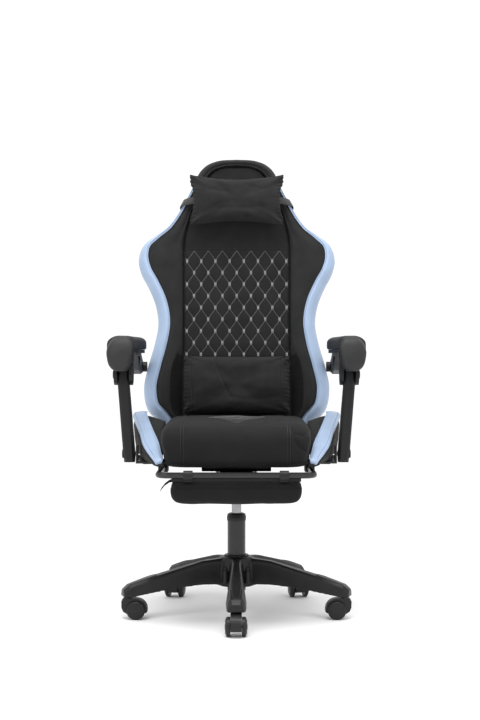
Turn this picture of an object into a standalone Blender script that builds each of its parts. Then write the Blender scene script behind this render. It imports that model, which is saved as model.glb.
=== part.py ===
"""Gaming chair: racing-shaped reclining backrest, winged seat, linkage armrests, sliding footrest,
gas lift with a rocking tilt, and a five-leg base on twin-wheel casters.

Metres, +Z up.  The sitter faces -Y, so the sitter's left is +X.  The origin is on the floor, on the
axis of the gas lift.  Run it with
    blender --background --python part.py
"""

import math

import bmesh
import bpy
from mathutils import Matrix, Vector

GAP = 0.0004                      # clearance left between touching pieces

# ---- base ----
LEG_COUNT = 5
FRONT_LEG_DEG = -90.0
HUB_TOP = 0.157
HUB_BOTTOM = 0.076
HUB_BORE = 0.0259
LEG_SHOULDER = 0.009              # drop from a leg's flat top to its shoulder
LEG_WALL = 0.0035
POCKETS = ((0.062, 0.118), (0.122, 0.178), (0.182, 0.230), (0.234, 0.278))
# Leg stations: distance from the axis, half-widths of the top, the shoulder and the bottom, and
# the heights of the top and the bottom.
LEG_STATIONS = (
    (0.030, 0.0110, 0.0180, 0.0250, 0.1545, 0.0800),
    (0.065, 0.0105, 0.0150, 0.0205, 0.1515, 0.0815),
    (0.100, 0.0100, 0.0140, 0.0180, 0.1480, 0.0830),
    (0.180, 0.0140, 0.0185, 0.0225, 0.1280, 0.0790),
    (0.260, 0.0160, 0.0230, 0.0280, 0.1080, 0.0680),
    (0.310, 0.0150, 0.0220, 0.0260, 0.0930, 0.0605),
    (0.326, 0.0120, 0.0180, 0.0230, 0.0800, 0.0605),
)

# ---- casters ----
CASTER_CIRCLE = 0.306             # gas lift axis to caster stem
CASTER_TRAIL = 0.018              # caster stem to wheel axle
CASTER_TOP = 0.0580
WHEEL_RADIUS = 0.025
WHEEL_WIDTH = 0.0120
WHEEL_SIDES = 24
WHEEL_GAP = 0.0298                # between the inner faces of a caster's two wheels
HOOD_WIDTH = 0.0290
FENDER_RADIUS = 0.0310
AXLE_RADIUS = 0.0030
STEM_RADIUS = 0.0055
STEM_TOP = 0.0800
# Which way each caster's wheels trail its stem, in degrees from +X towards +Y, going round the
# base from the front leg to the sitter's left
TRAIL_DEG = (-90.0, 180.0, -78.0, -102.0, 0.0)

# ---- gas lift and tilt mechanism ----
COLUMN_RADIUS = 0.0255
COLUMN_BORE = 0.0200
COLUMN_BOTTOM = 0.062
COLUMN_TOP = 0.2716
PISTON_RADIUS = 0.0140
PISTON_TOP = 0.368
TILT_Y = -0.055
TILT_Z = 0.400
HOUSING_HALF = 0.045
HOUSING_BOTTOM = 0.345
HOUSING_WALL = 0.003
KNOB_Y = -0.075
LEVER_Y = -0.020
LEVER_Z = 0.362
LEVER_PIVOT_X = -0.0510
PLATE_HALF = 0.094
PLATE_TOP = 0.4280

# ---- seat ----
SEAT_BOTTOM = 0.430
FRAME_HALF = 0.1635
FRAME_TOP = 0.4500
# Cushion stations, front to rear: Y, half-width, bottom and top
CUSHION_STATIONS = (
    (-0.274, 0.1780, 0.4400, 0.5000),
    (-0.264, 0.1865, 0.4320, 0.5190),
    (-0.245, 0.1895, 0.4300, 0.5330),
    (-0.225, 0.1920, 0.4300, 0.5380),
    (-0.170, 0.1980, 0.4300, 0.5435),
    (-0.090, 0.2030, 0.4300, 0.5450),
    (0.090, 0.2030, 0.4300, 0.5450),
    (0.134, 0.2030, 0.4300, 0.5400),
    (0.143, 0.2030, 0.4320, 0.5280),
)
# Wing stations, front to rear: Y, inner and outer X of the light edge, its height, and the X of
# the wall's lower rim
WING_STATIONS = (
    (-0.264, 0.1925, 0.2035, 0.4500, 0.1990),
    (-0.245, 0.1950, 0.2140, 0.4560, 0.2090),
    (-0.225, 0.1985, 0.2270, 0.4640, 0.2190),
    (-0.170, 0.2080, 0.2480, 0.4850, 0.2380),
    (-0.090, 0.2270, 0.2640, 0.5120, 0.2560),
    (0.000, 0.2465, 0.2840, 0.5400, 0.2680),
    (0.090, 0.2600, 0.2970, 0.5560, 0.2840),
    (0.155, 0.2620, 0.2970, 0.5560, 0.2870),
)
EDGE_THICK = 0.010

# ---- backrest: (u, v, f) are across, up along the back, and out of its front face ----
RECLINE_Y = 0.205
RECLINE_Z = 0.470
BACK_LEAN_DEG = 8.0
CUSHION_BACK = -0.0200            # f of the cushions' rear face
COVER_BACK = -0.0410              # f of the rear cover's outside
COVER_WALL = 0.0025
# Backrest stations from the bottom to the top centre: outer half-width and v, the width of the
# light side panel, the seam's half-width and v, and how far the bolster's crest stands forward
BACK_STATIONS = (
    (0.1960, -0.005, 0.032, 0.140, -0.005, 0.0440),
    (0.2250, 0.045, 0.034, 0.158, 0.045, 0.0540),
    (0.2620, 0.085, 0.036, 0.160, 0.085, 0.0600),
    (0.2750, 0.150, 0.037, 0.160, 0.150, 0.0640),
    (0.2620, 0.220, 0.037, 0.160, 0.220, 0.0620),
    (0.2430, 0.290, 0.036, 0.160, 0.290, 0.0560),
    (0.2340, 0.345, 0.035, 0.160, 0.345, 0.0520),
    (0.2420, 0.400, 0.034, 0.160, 0.400, 0.0500),
    (0.2640, 0.455, 0.032, 0.160, 0.455, 0.0500),
    (0.2870, 0.500, 0.031, 0.160, 0.500, 0.0500),
    (0.2950, 0.535, 0.030, 0.160, 0.535, 0.0500),
    (0.2800, 0.585, 0.022, 0.160, 0.575, 0.0490),
    (0.2420, 0.615, 0.015, 0.158, 0.600, 0.0480),
    (0.2080, 0.640, 0.012, 0.154, 0.622, 0.0470),
    (0.1880, 0.665, 0.011, 0.146, 0.650, 0.0460),
    (0.1720, 0.690, 0.010, 0.137, 0.680, 0.0460),
    (0.1540, 0.722, 0.009, 0.122, 0.712, 0.0460),
    (0.1370, 0.755, 0.008, 0.107, 0.744, 0.0460),
    (0.1280, 0.775, 0.008, 0.099, 0.764, 0.0460),
    (0.1100, 0.812, 0.010, 0.084, 0.795, 0.0450),
    (0.0880, 0.832, 0.010, 0.068, 0.810, 0.0440),
    (0.0600, 0.843, 0.010, 0.045, 0.819, 0.0440),
    (0.0000, 0.848, 0.010, 0.000, 0.824, 0.0440),
)
EDGE_END = 18                     # the light side panels stop at this station, behind the pillow
PANEL_FRONT = 0.035
SEAM_FRONT = 0.038
RIDGE_FRONT = 0.040
OUTER_FRONT = 0.014
FRAME_TUBE = 0.0080
FRAME_TUBE_F = -0.0295

# ---- armrest linkage: a parallelogram with the recline axis, the post foot, the post top and the
# arm's rear pivot as its corners ----
LINK_Y = 0.030
LINK_Z = 0.215
FOOT_Y = -0.100
FOOT_Z = 0.450
PIN_RADIUS = 0.0060
POST_BORE = 0.0066
# Post stations: height, inner X, outer X
POST_STATIONS = (
    (0.4275, 0.2760, 0.3050),
    (0.4500, 0.2760, 0.3070),
    (0.6400, 0.2940, 0.3245),
    (0.6875, 0.2940, 0.3245),
)
POST_HALF_DEPTH = 0.0225
CHEEK_IN = (0.2840, 0.2930)
CHEEK_OUT = (0.3260, 0.3350)
STRUT = (0.2795, 0.3110)
# Pad stations, front to rear: Y, inner X, outer X, bottom, top
PAD_STATIONS = (
    (-0.152, 0.2900, 0.3420, 0.6800, 0.7220),
    (-0.144, 0.2815, 0.3500, 0.6745, 0.7480),
    (-0.124, 0.2780, 0.3525, 0.6800, 0.7630),
    (-0.107, 0.2780, 0.3525, 0.6900, 0.7690),
    (-0.101, 0.2780, 0.3525, 0.7355, 0.7700),
    (-0.040, 0.2765, 0.3515, 0.7355, 0.7700),
    (0.060, 0.2690, 0.3450, 0.7355, 0.7700),
    (0.125, 0.2620, 0.3380, 0.7355, 0.7690),
    (0.144, 0.2630, 0.3340, 0.7360, 0.7640),
    (0.152, 0.2690, 0.3270, 0.7390, 0.7540),
)

# ---- footrest ----
RAIL_X = 0.202
RAIL_RADIUS = 0.008
RAIL_Z = 0.408
BAR_Y = -0.295
RAIL_REAR = 0.150
BEND_RADIUS = 0.025
GUIDE_Y = (-0.072, -0.010)
PAD_HALF = 0.175
PAD_FRONT = -0.290
PAD_REAR = -0.115
PAD_BOTTOM = 0.333
PAD_TOP = 0.3895
BOARD_TOP = 0.398

SIDES = ((1, "left"), (-1, "right"))

MATERIALS = {
    "black_fabric": ((0.030, 0.030, 0.031), 0.90, 0.0),
    "panel_fabric": ((0.022, 0.022, 0.023), 0.92, 0.0),
    "blue_leather": ((0.42, 0.57, 0.83), 0.45, 0.0),
    "black_plastic": ((0.040, 0.040, 0.042), 0.50, 0.0),
    "caster_plastic": ((0.035, 0.035, 0.037), 0.45, 0.0),
    "soft_pad": ((0.030, 0.030, 0.031), 0.60, 0.0),
    "black_steel": ((0.020, 0.020, 0.021), 0.38, 0.4),
    "chrome": ((0.72, 0.72, 0.73), 0.15, 1.0),
    "bright_steel": ((0.50, 0.50, 0.51), 0.35, 1.0),
    "webbing": ((0.018, 0.018, 0.019), 0.85, 0.0),
}


# ------------------------------------------------------------------ tools

def new_collection(name, hidden=False):
    made = bpy.data.collections.new(name)
    bpy.context.scene.collection.children.link(made)
    made.hide_render = hidden
    return made


def material(name):
    found = bpy.data.materials.get(name)
    if found:
        return found
    colour, roughness, metallic = MATERIALS[name]
    made = bpy.data.materials.new(name)
    made.use_nodes = True
    shader = made.node_tree.nodes["Principled BSDF"]
    shader.inputs["Base Color"].default_value = (*colour, 1.0)
    shader.inputs["Roughness"].default_value = roughness
    shader.inputs["Metallic"].default_value = metallic
    return made


def add(name, data, look=None, frame=None):
    """A part when it has a look, and a hidden helper for a Boolean when it has none."""
    obj = bpy.data.objects.new(name, data)
    home = bpy.data.collections["gaming_chair" if look else "helpers"]
    home.objects.link(obj)
    if look:
        data.materials.append(material(look))
    else:
        obj.hide_render = True
        obj.display_type = "WIRE"
    if frame:
        obj.parent = frame
    return obj


def from_bmesh(name, bm, look=None, frame=None, smooth=True):
    bmesh.ops.recalc_face_normals(bm, faces=bm.faces)
    mesh = bpy.data.meshes.new(name)
    bm.to_mesh(mesh)
    bm.free()
    if smooth:
        mesh.shade_smooth()
        mesh.set_sharp_from_angle(angle=math.radians(35))
    return add(name, mesh, look, frame)


def box(name, low, high, look=None, frame=None):
    low, high = Vector(low), Vector(high)
    bm = bmesh.new()
    bmesh.ops.create_cube(bm, size=1.0)
    bmesh.ops.scale(bm, vec=high - low, verts=bm.verts)
    bmesh.ops.translate(bm, vec=(low + high) / 2, verts=bm.verts)
    return from_bmesh(name, bm, look, frame, smooth=False)


def rod(name, start, end, radius, look=None, frame=None, sides=20, end_radius=None):
    """A round bar from one point to another, or a cone when it has an end_radius."""
    start, end = Vector(start), Vector(end)
    along = end - start
    bm = bmesh.new()
    bmesh.ops.create_cone(
        bm, cap_ends=True, segments=sides, radius1=radius,
        radius2=radius if end_radius is None else end_radius, depth=along.length,
    )
    turn = along.to_track_quat("Z", "Y").to_matrix().to_4x4()
    bmesh.ops.transform(bm, matrix=Matrix.Translation((start + end) / 2) @ turn, verts=bm.verts)
    return from_bmesh(name, bm, look, frame)


def across(name, y, z, radius, x_from, x_to, look=None, sides=20):
    """A round bar along X."""
    return rod(name, (x_from, y, z), (x_to, y, z), radius, look, sides=sides)


def turned(name, profile, look=None, frame=None, sides=32):
    """A solid of revolution about Z from (radius, height) points.  The profile starts and ends on
    the axis, or it is a closed ring."""
    mesh = bpy.data.meshes.new(name)
    edges = [(i, i + 1) for i in range(len(profile) - 1)]
    if profile[0][0] > 0:
        edges.append((len(profile) - 1, 0))
    mesh.from_pydata([(radius, 0.0, height) for radius, height in profile], edges, [])
    obj = add(name, mesh, look, frame)
    spin = obj.modifiers.new("Turn", "SCREW")
    spin.steps = spin.render_steps = sides
    spin.use_merge_vertices = True
    spin.merge_threshold = 0.00001
    return obj


def loft(name, sections, look=None, frame=None, smooth=True):
    """A skin over closed sections of equal length, capped at both ends."""
    bm = bmesh.new()
    rings = [[bm.verts.new(point) for point in section] for section in sections]
    count = len(rings[0])
    for near, far in zip(rings, rings[1:]):
        for i in range(count):
            j = (i + 1) % count
            bm.faces.new((near[i], near[j], far[j], far[i]))
    bm.faces.new(rings[0])
    bm.faces.new(rings[-1])
    return from_bmesh(name, bm, look, frame, smooth)


def side_plate(name, outline, x_from, x_to, look=None):
    """A flat outline of (Y, Z) points, between two values of X."""
    return loft(name, [[(x, y, z) for y, z in outline] for x in (x_from, x_to)], look, smooth=False)


def plate(name, outline, low, high, look=None, frame=None):
    """A flat outline in the frame's first two axes, between two heights on its third."""
    curve = bpy.data.curves.new(name, "CURVE")
    curve.dimensions = "2D"
    curve.fill_mode = "BOTH"
    curve.extrude = (high - low) / 2
    spline = curve.splines.new("POLY")
    spline.points.add(len(outline) - 1)
    for point, (x, y) in zip(spline.points, outline):
        point.co = (x, y, 0.0, 1.0)
    spline.use_cyclic_u = True
    obj = add(name, curve, look, frame)
    obj.location.z = (low + high) / 2
    return as_mesh(obj)


def tube(name, points, radius, look=None, frame=None, resolution=2, closed=False):
    """A round bar along a polyline."""
    curve = bpy.data.curves.new(name, "CURVE")
    curve.dimensions = "3D"
    curve.bevel_depth = radius
    curve.bevel_resolution = resolution
    curve.use_fill_caps = True
    spline = curve.splines.new("POLY")
    spline.points.add(len(points) - 1)
    for point, place in zip(spline.points, points):
        point.co = (*place, 1.0)
    spline.use_cyclic_u = closed
    return as_mesh(add(name, curve, look, frame))


def as_mesh(obj):
    """The same object with its curve and modifiers made into one welded mesh."""
    bpy.context.view_layer.update()
    graph = bpy.context.evaluated_depsgraph_get()
    mesh = bpy.data.meshes.new_from_object(obj.evaluated_get(graph))
    bm = bmesh.new()
    bm.from_mesh(mesh)
    bmesh.ops.remove_doubles(bm, verts=bm.verts, dist=0.00002)
    bmesh.ops.recalc_face_normals(bm, faces=bm.faces)
    bm.to_mesh(mesh)
    bm.free()
    name = obj.name
    made = bpy.data.objects.new(name + "_mesh", mesh)
    for home in obj.users_collection:
        home.objects.link(made)
    made.parent = obj.parent
    made.matrix_local = obj.matrix_local.copy()
    made.hide_render = obj.hide_render
    made.display_type = obj.display_type
    bpy.data.objects.remove(obj, do_unlink=True)
    made.name = name
    return made


def combine(target, others, operation):
    for other in others:
        step = target.modifiers.new(other.name, "BOOLEAN")
        step.operation = operation
        step.object = other
    return target


def cut(target, *cutters):
    return combine(target, cutters, "DIFFERENCE")


def join(target, *additions):
    return combine(target, additions, "UNION")


def arc(centre, radius, start_deg, end_deg, count):
    """Points on an arc in a plane, ends included."""
    angles = [math.radians(start_deg + (end_deg - start_deg) * i / count) for i in range(count + 1)]
    return [(centre[0] + radius * math.cos(a), centre[1] + radius * math.sin(a)) for a in angles]


def cushion_section(low_x, high_x, low_z, high_z, corner):
    """A rounded box's section in (X, Z), with its upper and lower corners cut."""
    trim = min(corner, (high_z - low_z) * 0.45, (high_x - low_x) * 0.45)
    return [
        (low_x + trim, low_z), (high_x - trim, low_z), (high_x, low_z + trim),
        (high_x, high_z - trim), (high_x - trim, high_z), (low_x + trim, high_z),
        (low_x, high_z - trim), (low_x, low_z + trim),
    ]


# ------------------------------------------------------------------ base and casters

def leg_section(distance, wall=0.0, drop=0.0):
    """A leg's six-cornered section at a distance from the axis, made smaller by a wall."""
    for near, far in zip(LEG_STATIONS, LEG_STATIONS[1:]):
        if distance <= far[0]:
            break
    t = (distance - near[0]) / (far[0] - near[0])
    top, shoulder, bottom, high, low = (a + (b - a) * t for a, b in zip(near[1:], far[1:]))
    high, low = high - wall, low - drop
    brow = high - LEG_SHOULDER
    return [
        (distance, wall - bottom, low), (distance, bottom - wall, low),
        (distance, shoulder - wall, brow), (distance, top - wall / 2, high),
        (distance, wall / 2 - top, high), (distance, wall - shoulder, brow),
    ]


def leg_turn(index):
    return Matrix.Rotation(math.radians(FRONT_LEG_DEG + 360.0 / LEG_COUNT * index), 3, "Z")


def star_base():
    hub = as_mesh(turned("star_base", [
        (0.0440, HUB_TOP), (0.0470, 0.1530), (0.0510, 0.1360), (0.0530, 0.1050),
        (0.0520, HUB_BOTTOM), (0.0240, HUB_BOTTOM), (0.0240, HUB_TOP),
    ], "black_plastic", sides=30))
    for index in range(LEG_COUNT):
        turn = leg_turn(index)
        sections = [[turn @ Vector(p) for p in leg_section(s[0])] for s in LEG_STATIONS]
        join(hub, loft(f"leg_{index}", sections))
    cut(hub, rod("hub_bore", (0, 0, 0.05), (0, 0, 0.20), HUB_BORE, sides=32))
    for index in range(LEG_COUNT):
        turn = leg_turn(index)
        for number, (near, far) in enumerate(POCKETS):
            stops = (near, (near + far) / 2, far)
            sections = [[turn @ Vector(p) for p in leg_section(d, LEG_WALL, 0.01)] for d in stops]
            cut(hub, loft(f"pocket_{index}_{number}", sections))
        stem = turn @ Vector((CASTER_CIRCLE, 0.0, 0.0))
        low, high = Vector((0, 0, 0.05)), Vector((0, 0, STEM_TOP + 0.0012))
        cut(hub, rod(f"socket_{index}", stem + low, stem + high, STEM_RADIUS + 0.0006, sides=16))


def hood_outline():
    """The caster hood from the side: x from the stem along the trail, y up."""
    axle = (CASTER_TRAIL, WHEEL_RADIUS)
    over = arc(axle, FENDER_RADIUS, -10, 78, 7)
    over += [(0.006, CASTER_TOP), (-0.014, CASTER_TOP), (-0.0195, 0.0545), (-0.0220, 0.0480)]
    over += [(-0.0215, 0.0320), (-0.0170, 0.0210), (-0.0080, 0.0150), (0.0060, 0.0135)]
    return over + [(0.0300, 0.0135), (0.0420, 0.0160)]


def caster(index):
    """A hood that turns on its stem, with two wheels that turn on its axle."""
    frame = bpy.data.objects.new(f"caster_{index + 1}", None)
    bpy.data.collections["gaming_chair"].objects.link(frame)
    frame.location = leg_turn(index) @ Vector((CASTER_CIRCLE, 0.0, 0.0))
    frame.rotation_euler.z = math.radians(TRAIL_DEG[index])
    half = HOOD_WIDTH / 2
    sections = [[(x, y, z) for x, z in hood_outline()] for y in (-half, half)]
    hood = loft(f"caster_hood_{index + 1}", sections, "caster_plastic", frame)
    reach = WHEEL_GAP / 2 + 0.0090
    join(hood,
         rod(f"axle_{index}", (CASTER_TRAIL, -reach, WHEEL_RADIUS),
             (CASTER_TRAIL, reach, WHEEL_RADIUS), AXLE_RADIUS, frame=frame, sides=12),
         rod(f"stem_{index}", (0, 0, 0.045), (0, 0, STEM_TOP), STEM_RADIUS, frame=frame, sides=16))
    corner = WHEEL_RADIUS / math.cos(math.pi / WHEEL_SIDES)
    bore = AXLE_RADIUS + 0.0004
    profile = [(bore, 0.0), (bore, 0.0096), (0.0, 0.0096), (0.0, WHEEL_WIDTH),
               (corner - 0.0040, WHEEL_WIDTH), (corner, WHEEL_WIDTH - 0.0030), (corner, 0.0)]
    for side, word in SIDES:
        bm = bmesh.new()
        points = [bm.verts.new((radius, 0.0, height)) for radius, height in profile]
        edges = [bm.edges.new(pair) for pair in zip(points, points[1:])]
        edges.append(bm.edges.new((points[-1], points[0])))
        bmesh.ops.spin(bm, geom=points + edges, cent=(0, 0, 0), axis=(0, 0, 1),
                       angle=math.tau, steps=WHEEL_SIDES, use_merge=True)
        bmesh.ops.remove_doubles(bm, verts=bm.verts, dist=0.00001)
        flat_down = Matrix.Rotation(math.pi / 2 + math.pi / WHEEL_SIDES, 4, "Z")
        lay = Matrix.Rotation(math.radians(-90 * side), 4, "X")
        shift = Matrix.Translation((CASTER_TRAIL, side * WHEEL_GAP / 2, WHEEL_RADIUS))
        bmesh.ops.transform(bm, matrix=shift @ lay @ flat_down, verts=bm.verts)
        from_bmesh(f"caster_wheel_{index + 1}_{word}", bm, "caster_plastic", frame)


# ------------------------------------------------------------------ gas lift and tilt mechanism

def gas_lift():
    turned("column_tube", [
        (COLUMN_RADIUS, COLUMN_TOP), (COLUMN_RADIUS, COLUMN_BOTTOM), (COLUMN_BORE, COLUMN_BOTTOM),
        (COLUMN_BORE, COLUMN_TOP),
    ], "black_steel")
    turned("column_bush", [
        (0.0205, COLUMN_TOP + 0.0055), (0.0255, COLUMN_TOP + 0.0030), (0.0262, COLUMN_TOP + GAP),
        (0.0196, COLUMN_TOP + GAP), (0.0196, 0.195), (0.0147, 0.195),
        (0.0147, COLUMN_TOP + 0.0055),
    ], "caster_plastic")
    turned("gas_piston", [
        (0.0, PISTON_TOP), (PISTON_RADIUS - 0.0015, PISTON_TOP), (PISTON_RADIUS, PISTON_TOP - 0.003),
        (PISTON_RADIUS, 0.122), (PISTON_RADIUS - 0.002, 0.120), (0.0, 0.120),
    ], "chrome", sides=28)


def tilt_housing():
    """A pressed steel pan, open on top, with the socket that sits on the piston and two front
    ears for the tilt pin."""
    outline = [(-0.100, 0.376), (-0.100, 0.352), (-0.092, HOUSING_BOTTOM), (0.052, HOUSING_BOTTOM),
               (0.060, 0.352), (0.060, 0.371), (-0.020, 0.376), (TILT_Y + 0.013, 0.4085),
               (TILT_Y - 0.013, 0.4085), (-0.086, 0.380)]
    housing = side_plate("tilt_housing", outline, -HOUSING_HALF, HOUSING_HALF, "black_steel")
    inner = HOUSING_HALF - HOUSING_WALL
    cut(housing, box("housing_hollow", (-inner, -0.097, HOUSING_BOTTOM + HOUSING_WALL),
                     (inner, 0.057, 0.43)))
    join(housing, rod("piston_socket", (0, 0, 0.329), (0, 0, 0.3700), 0.0210, end_radius=0.0225,
                      sides=28))
    cut(housing,
        rod("socket_bore", (0, 0, 0.32), (0, 0, 0.40), PISTON_RADIUS + 0.0005, sides=28),
        rod("knob_hole", (0, KNOB_Y, 0.33), (0, KNOB_Y, 0.36), 0.0060, sides=16),
        across("tilt_pin_hole", TILT_Y, TILT_Z, 0.0054, -0.07, 0.07, sides=16),
        across("lever_hole", LEVER_Y, LEVER_Z, 0.0065, -0.055, -0.035, sides=16))


def seat_plate():
    """The pressed plate under the seat: turned-down sides, and two ears on the tilt pin."""
    made = box("seat_plate", (-PLATE_HALF, -0.130, 0.4235), (PLATE_HALF, 0.130, PLATE_TOP),
               "black_steel")
    ear = [(TILT_Y - 0.025, 0.4250), (TILT_Y - 0.013, 0.3920), (TILT_Y - 0.006, 0.3880),
           (TILT_Y + 0.006, 0.3880), (TILT_Y + 0.013, 0.3920), (TILT_Y + 0.025, 0.4250)]
    for side, word in SIDES:
        join(made, side_plate(f"plate_ear_{word}", ear, side * 0.0500, side * 0.0535))
        lip = sorted((side * PLATE_HALF, side * (PLATE_HALF - 0.0030)))
        join(made, box(f"plate_lip_{word}", (lip[0], -0.130, 0.4050), (lip[1], 0.130, 0.4250)))
    for x in (-0.075, 0.075):
        for y in (-0.095, 0.095):
            cut(made, rod(f"plate_slot_{x}_{y}", (x, y, 0.41), (x, y, 0.44), 0.0045, sides=12))
    cut(made, across("plate_pin_hole", TILT_Y, TILT_Z, 0.0056, -0.07, 0.07, sides=16))


def tension_knob():
    knob = as_mesh(turned("tension_knob", [
        (0.0, 0.3700), (0.0050, 0.3700), (0.0050, 0.3420), (0.0120, 0.3415), (0.0250, 0.3380),
        (0.0262, 0.3340), (0.0255, 0.3160), (0.0225, 0.3120), (0.0, 0.3120),
    ], "black_plastic", sides=24))
    knob.location.y = KNOB_Y
    for x, y in arc((0.0, KNOB_Y), 0.0290, 0, 315, 7):
        cut(knob, rod(f"flute_{x:.3f}_{y:.3f}", (x, y, 0.30), (x, y, 0.332), 0.0055, sides=10))


def tilt_spring():
    turns, steps = 3, 10
    coil = []
    for i in range(turns * steps + 1):
        angle = math.tau * i / steps
        height = HOUSING_BOTTOM + HOUSING_WALL + 0.0024 + 0.0190 * i / (turns * steps)
        coil.append((0.0105 * math.cos(angle), KNOB_Y + 0.0105 * math.sin(angle), height))
    tube("tilt_spring", coil, 0.0018, "bright_steel", resolution=1)


def lift_lever():
    bush = across("lever_bush", LEVER_Y, LEVER_Z, 0.0095, LEVER_PIVOT_X - 0.0045,
                  LEVER_PIVOT_X + 0.0045, "black_plastic")
    cut(bush, across("bush_bore", LEVER_Y, LEVER_Z, 0.0046, -0.07, -0.03, sides=16))
    lever = tube("lift_lever", [
        (-0.0230, LEVER_Y, LEVER_Z), (-0.120, LEVER_Y, LEVER_Z), (-0.135, LEVER_Y, 0.3635),
        (-0.148, LEVER_Y, 0.3665), (-0.160, LEVER_Y, 0.3690),
    ], 0.0040, "black_plastic")
    # The paddle: X, the height of its middle, its half-width and its half-thickness
    paddle = ((-0.152, 0.3675, 0.0055, 0.0044), (-0.168, 0.3700, 0.0100, 0.0040),
              (-0.186, 0.3680, 0.0130, 0.0034), (-0.199, 0.3590, 0.0135, 0.0030),
              (-0.208, 0.3480, 0.0115, 0.0026), (-0.212, 0.3410, 0.0075, 0.0022))
    sections = []
    for x, z, wide, thick in paddle:
        ring = cushion_section(-wide, wide, -thick, thick, thick * 0.8)
        sections.append([(x, LEVER_Y + a, z + b) for a, b in ring])
    join(lever, loft("paddle", sections))


# ------------------------------------------------------------------ seat

def between(stations, y):
    """The row of a station table at Y, worked out between its neighbours."""
    if y <= stations[0][0]:
        return stations[0]
    for near, far in zip(stations, stations[1:]):
        if y <= far[0]:
            t = (y - near[0]) / (far[0] - near[0])
            return tuple(a + (b - a) * t for a, b in zip(near, far))
    return stations[-1]


def seat_frame():
    """The plywood seat board, with a steel bar across its rear for the recline hinges."""
    frame = box("seat_frame", (-FRAME_HALF, -0.205, SEAT_BOTTOM + 0.0005),
                (FRAME_HALF, 0.190, FRAME_TOP), "black_steel")
    join(frame, box("rear_bar", (-0.2318, 0.166, 0.4310), (0.2318, 0.1895, 0.4495)))


def seat_cushion():
    """The middle of the seat, with a pocket that sits over the board."""
    sections = []
    for y, half, low, high in CUSHION_STATIONS:
        ring = [(-half, low), (half, low), (half, high - 0.018), (half - 0.020, high),
                (0.020 - half, high), (-half, high - 0.018)]
        sections.append([(x, y, z) for x, z in ring])
    cushion = loft("seat_cushion", sections, "black_fabric")
    reach = FRAME_HALF + 0.0010
    cut(cushion, box("frame_pocket", (-reach, -0.2065, 0.40), (reach, 0.25, FRAME_TOP + 0.0008)))


def seat_wing(side, word):
    """The raised side of the seat, and the light panel along its edge."""
    body, edge = [], []
    for y, inner, outer, height, rim in WING_STATIONS:
        cushion = between(CUSHION_STATIONS, y)
        near = cushion[1] + 0.0015
        bottom = SEAT_BOTTOM + 0.001
        under = height - EDGE_THICK - 0.0015
        crease = max(min(under - 0.001, cushion[3] - 0.020), bottom + 0.001)
        edge.append([(side * inner, y, height), (side * outer, y, height - 0.004),
                     (side * outer, y, height - 0.004 - EDGE_THICK),
                     (side * inner, y, height - EDGE_THICK)])
        body.append([(side * near, y, bottom), (side * rim, y, bottom),
                     (side * outer, y, max(under - 0.004, bottom + 0.0005)),
                     (side * (inner + 0.001), y, under), (side * near, y, crease)])
    loft(f"seat_bolster_{word}", body, "black_fabric")
    loft(f"seat_trim_{word}", edge, "blue_leather")


def hinge_plate(side, word):
    """The seat's half of a recline hinge: a plate with the shaft on the recline axis."""
    outline = arc((RECLINE_Y, RECLINE_Z), 0.0310, -25, 195, 12)
    outline += [(0.168, 0.4300), (0.172, 0.4260), (0.205, 0.4260), (0.222, 0.4400)]
    made = side_plate(f"hinge_plate_{word}", outline, side * 0.2325, side * 0.2395, "black_steel")
    join(made, across(f"hinge_shaft_{word}", RECLINE_Y, RECLINE_Z, 0.0100, side * 0.2215,
                      side * 0.2340))
    if side < 0:
        join(made, across("lever_shaft", RECLINE_Y, RECLINE_Z, 0.0060, side * 0.2380, side * 0.2520,
                          sides=16))


def recline_lever():
    """The handle that frees the backrest, on the sitter's right."""
    hub = across("recline_lever", RECLINE_Y, RECLINE_Z, 0.0170, -0.2405, -0.2500, "black_plastic")
    grip_y, grip_z = RECLINE_Y - 0.022, RECLINE_Z + 0.030
    arm = [(RECLINE_Y - 0.012, RECLINE_Z - 0.008), (RECLINE_Y + 0.010, RECLINE_Z + 0.010),
           (grip_y + 0.011, grip_z + 0.004), (grip_y - 0.011, grip_z + 0.004),
           (grip_y - 0.011, grip_z - 0.006)]
    join(hub, side_plate("recline_arm", arm, -0.2410, -0.2490))
    sections = []
    for x, grow in ((-0.2420, 0.85), (-0.2600, 1.0), (-0.2850, 1.1), (-0.2920, 0.7)):
        ring = cushion_section(-0.011 * grow, 0.011 * grow, -0.005 * grow, 0.005 * grow, 0.003)
        sections.append([(x, grip_y + a, grip_z + b) for a, b in ring])
    join(hub, loft("recline_grip", sections))
    cut(hub, across("recline_bore", RECLINE_Y, RECLINE_Z, 0.0065, -0.23, -0.26, sides=16))


# ------------------------------------------------------------------ backrest

def back_axes():
    """An empty on the recline axis, whose axes are u, v and f."""
    frame = bpy.data.objects.new("back_axes", None)
    bpy.data.collections["gaming_chair"].objects.link(frame)
    frame.location = (0.0, RECLINE_Y, RECLINE_Z)
    frame.rotation_euler.x = math.radians(90 - BACK_LEAN_DEG)
    return frame


def inset(points, distances):
    """A half outline moved inwards, square to itself."""
    moved = []
    for i, (u, v) in enumerate(points):
        before = Vector(points[max(i - 1, 0)])
        after = Vector(points[i + 1]) if i + 1 < len(points) else Vector((-before.x, before.y))
        along = (after - before).normalized()
        moved.append((max(u - distances[i] * along.y, 0.0), v + distances[i] * along.x))
    moved[0] = (points[0][0] - distances[0], points[0][1])
    return moved


def whole_loop(points):
    """A half outline from the bottom to the top centre, closed through its mirror image."""
    return points + [(-u, v) for u, v in reversed(points) if u > 0]


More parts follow.
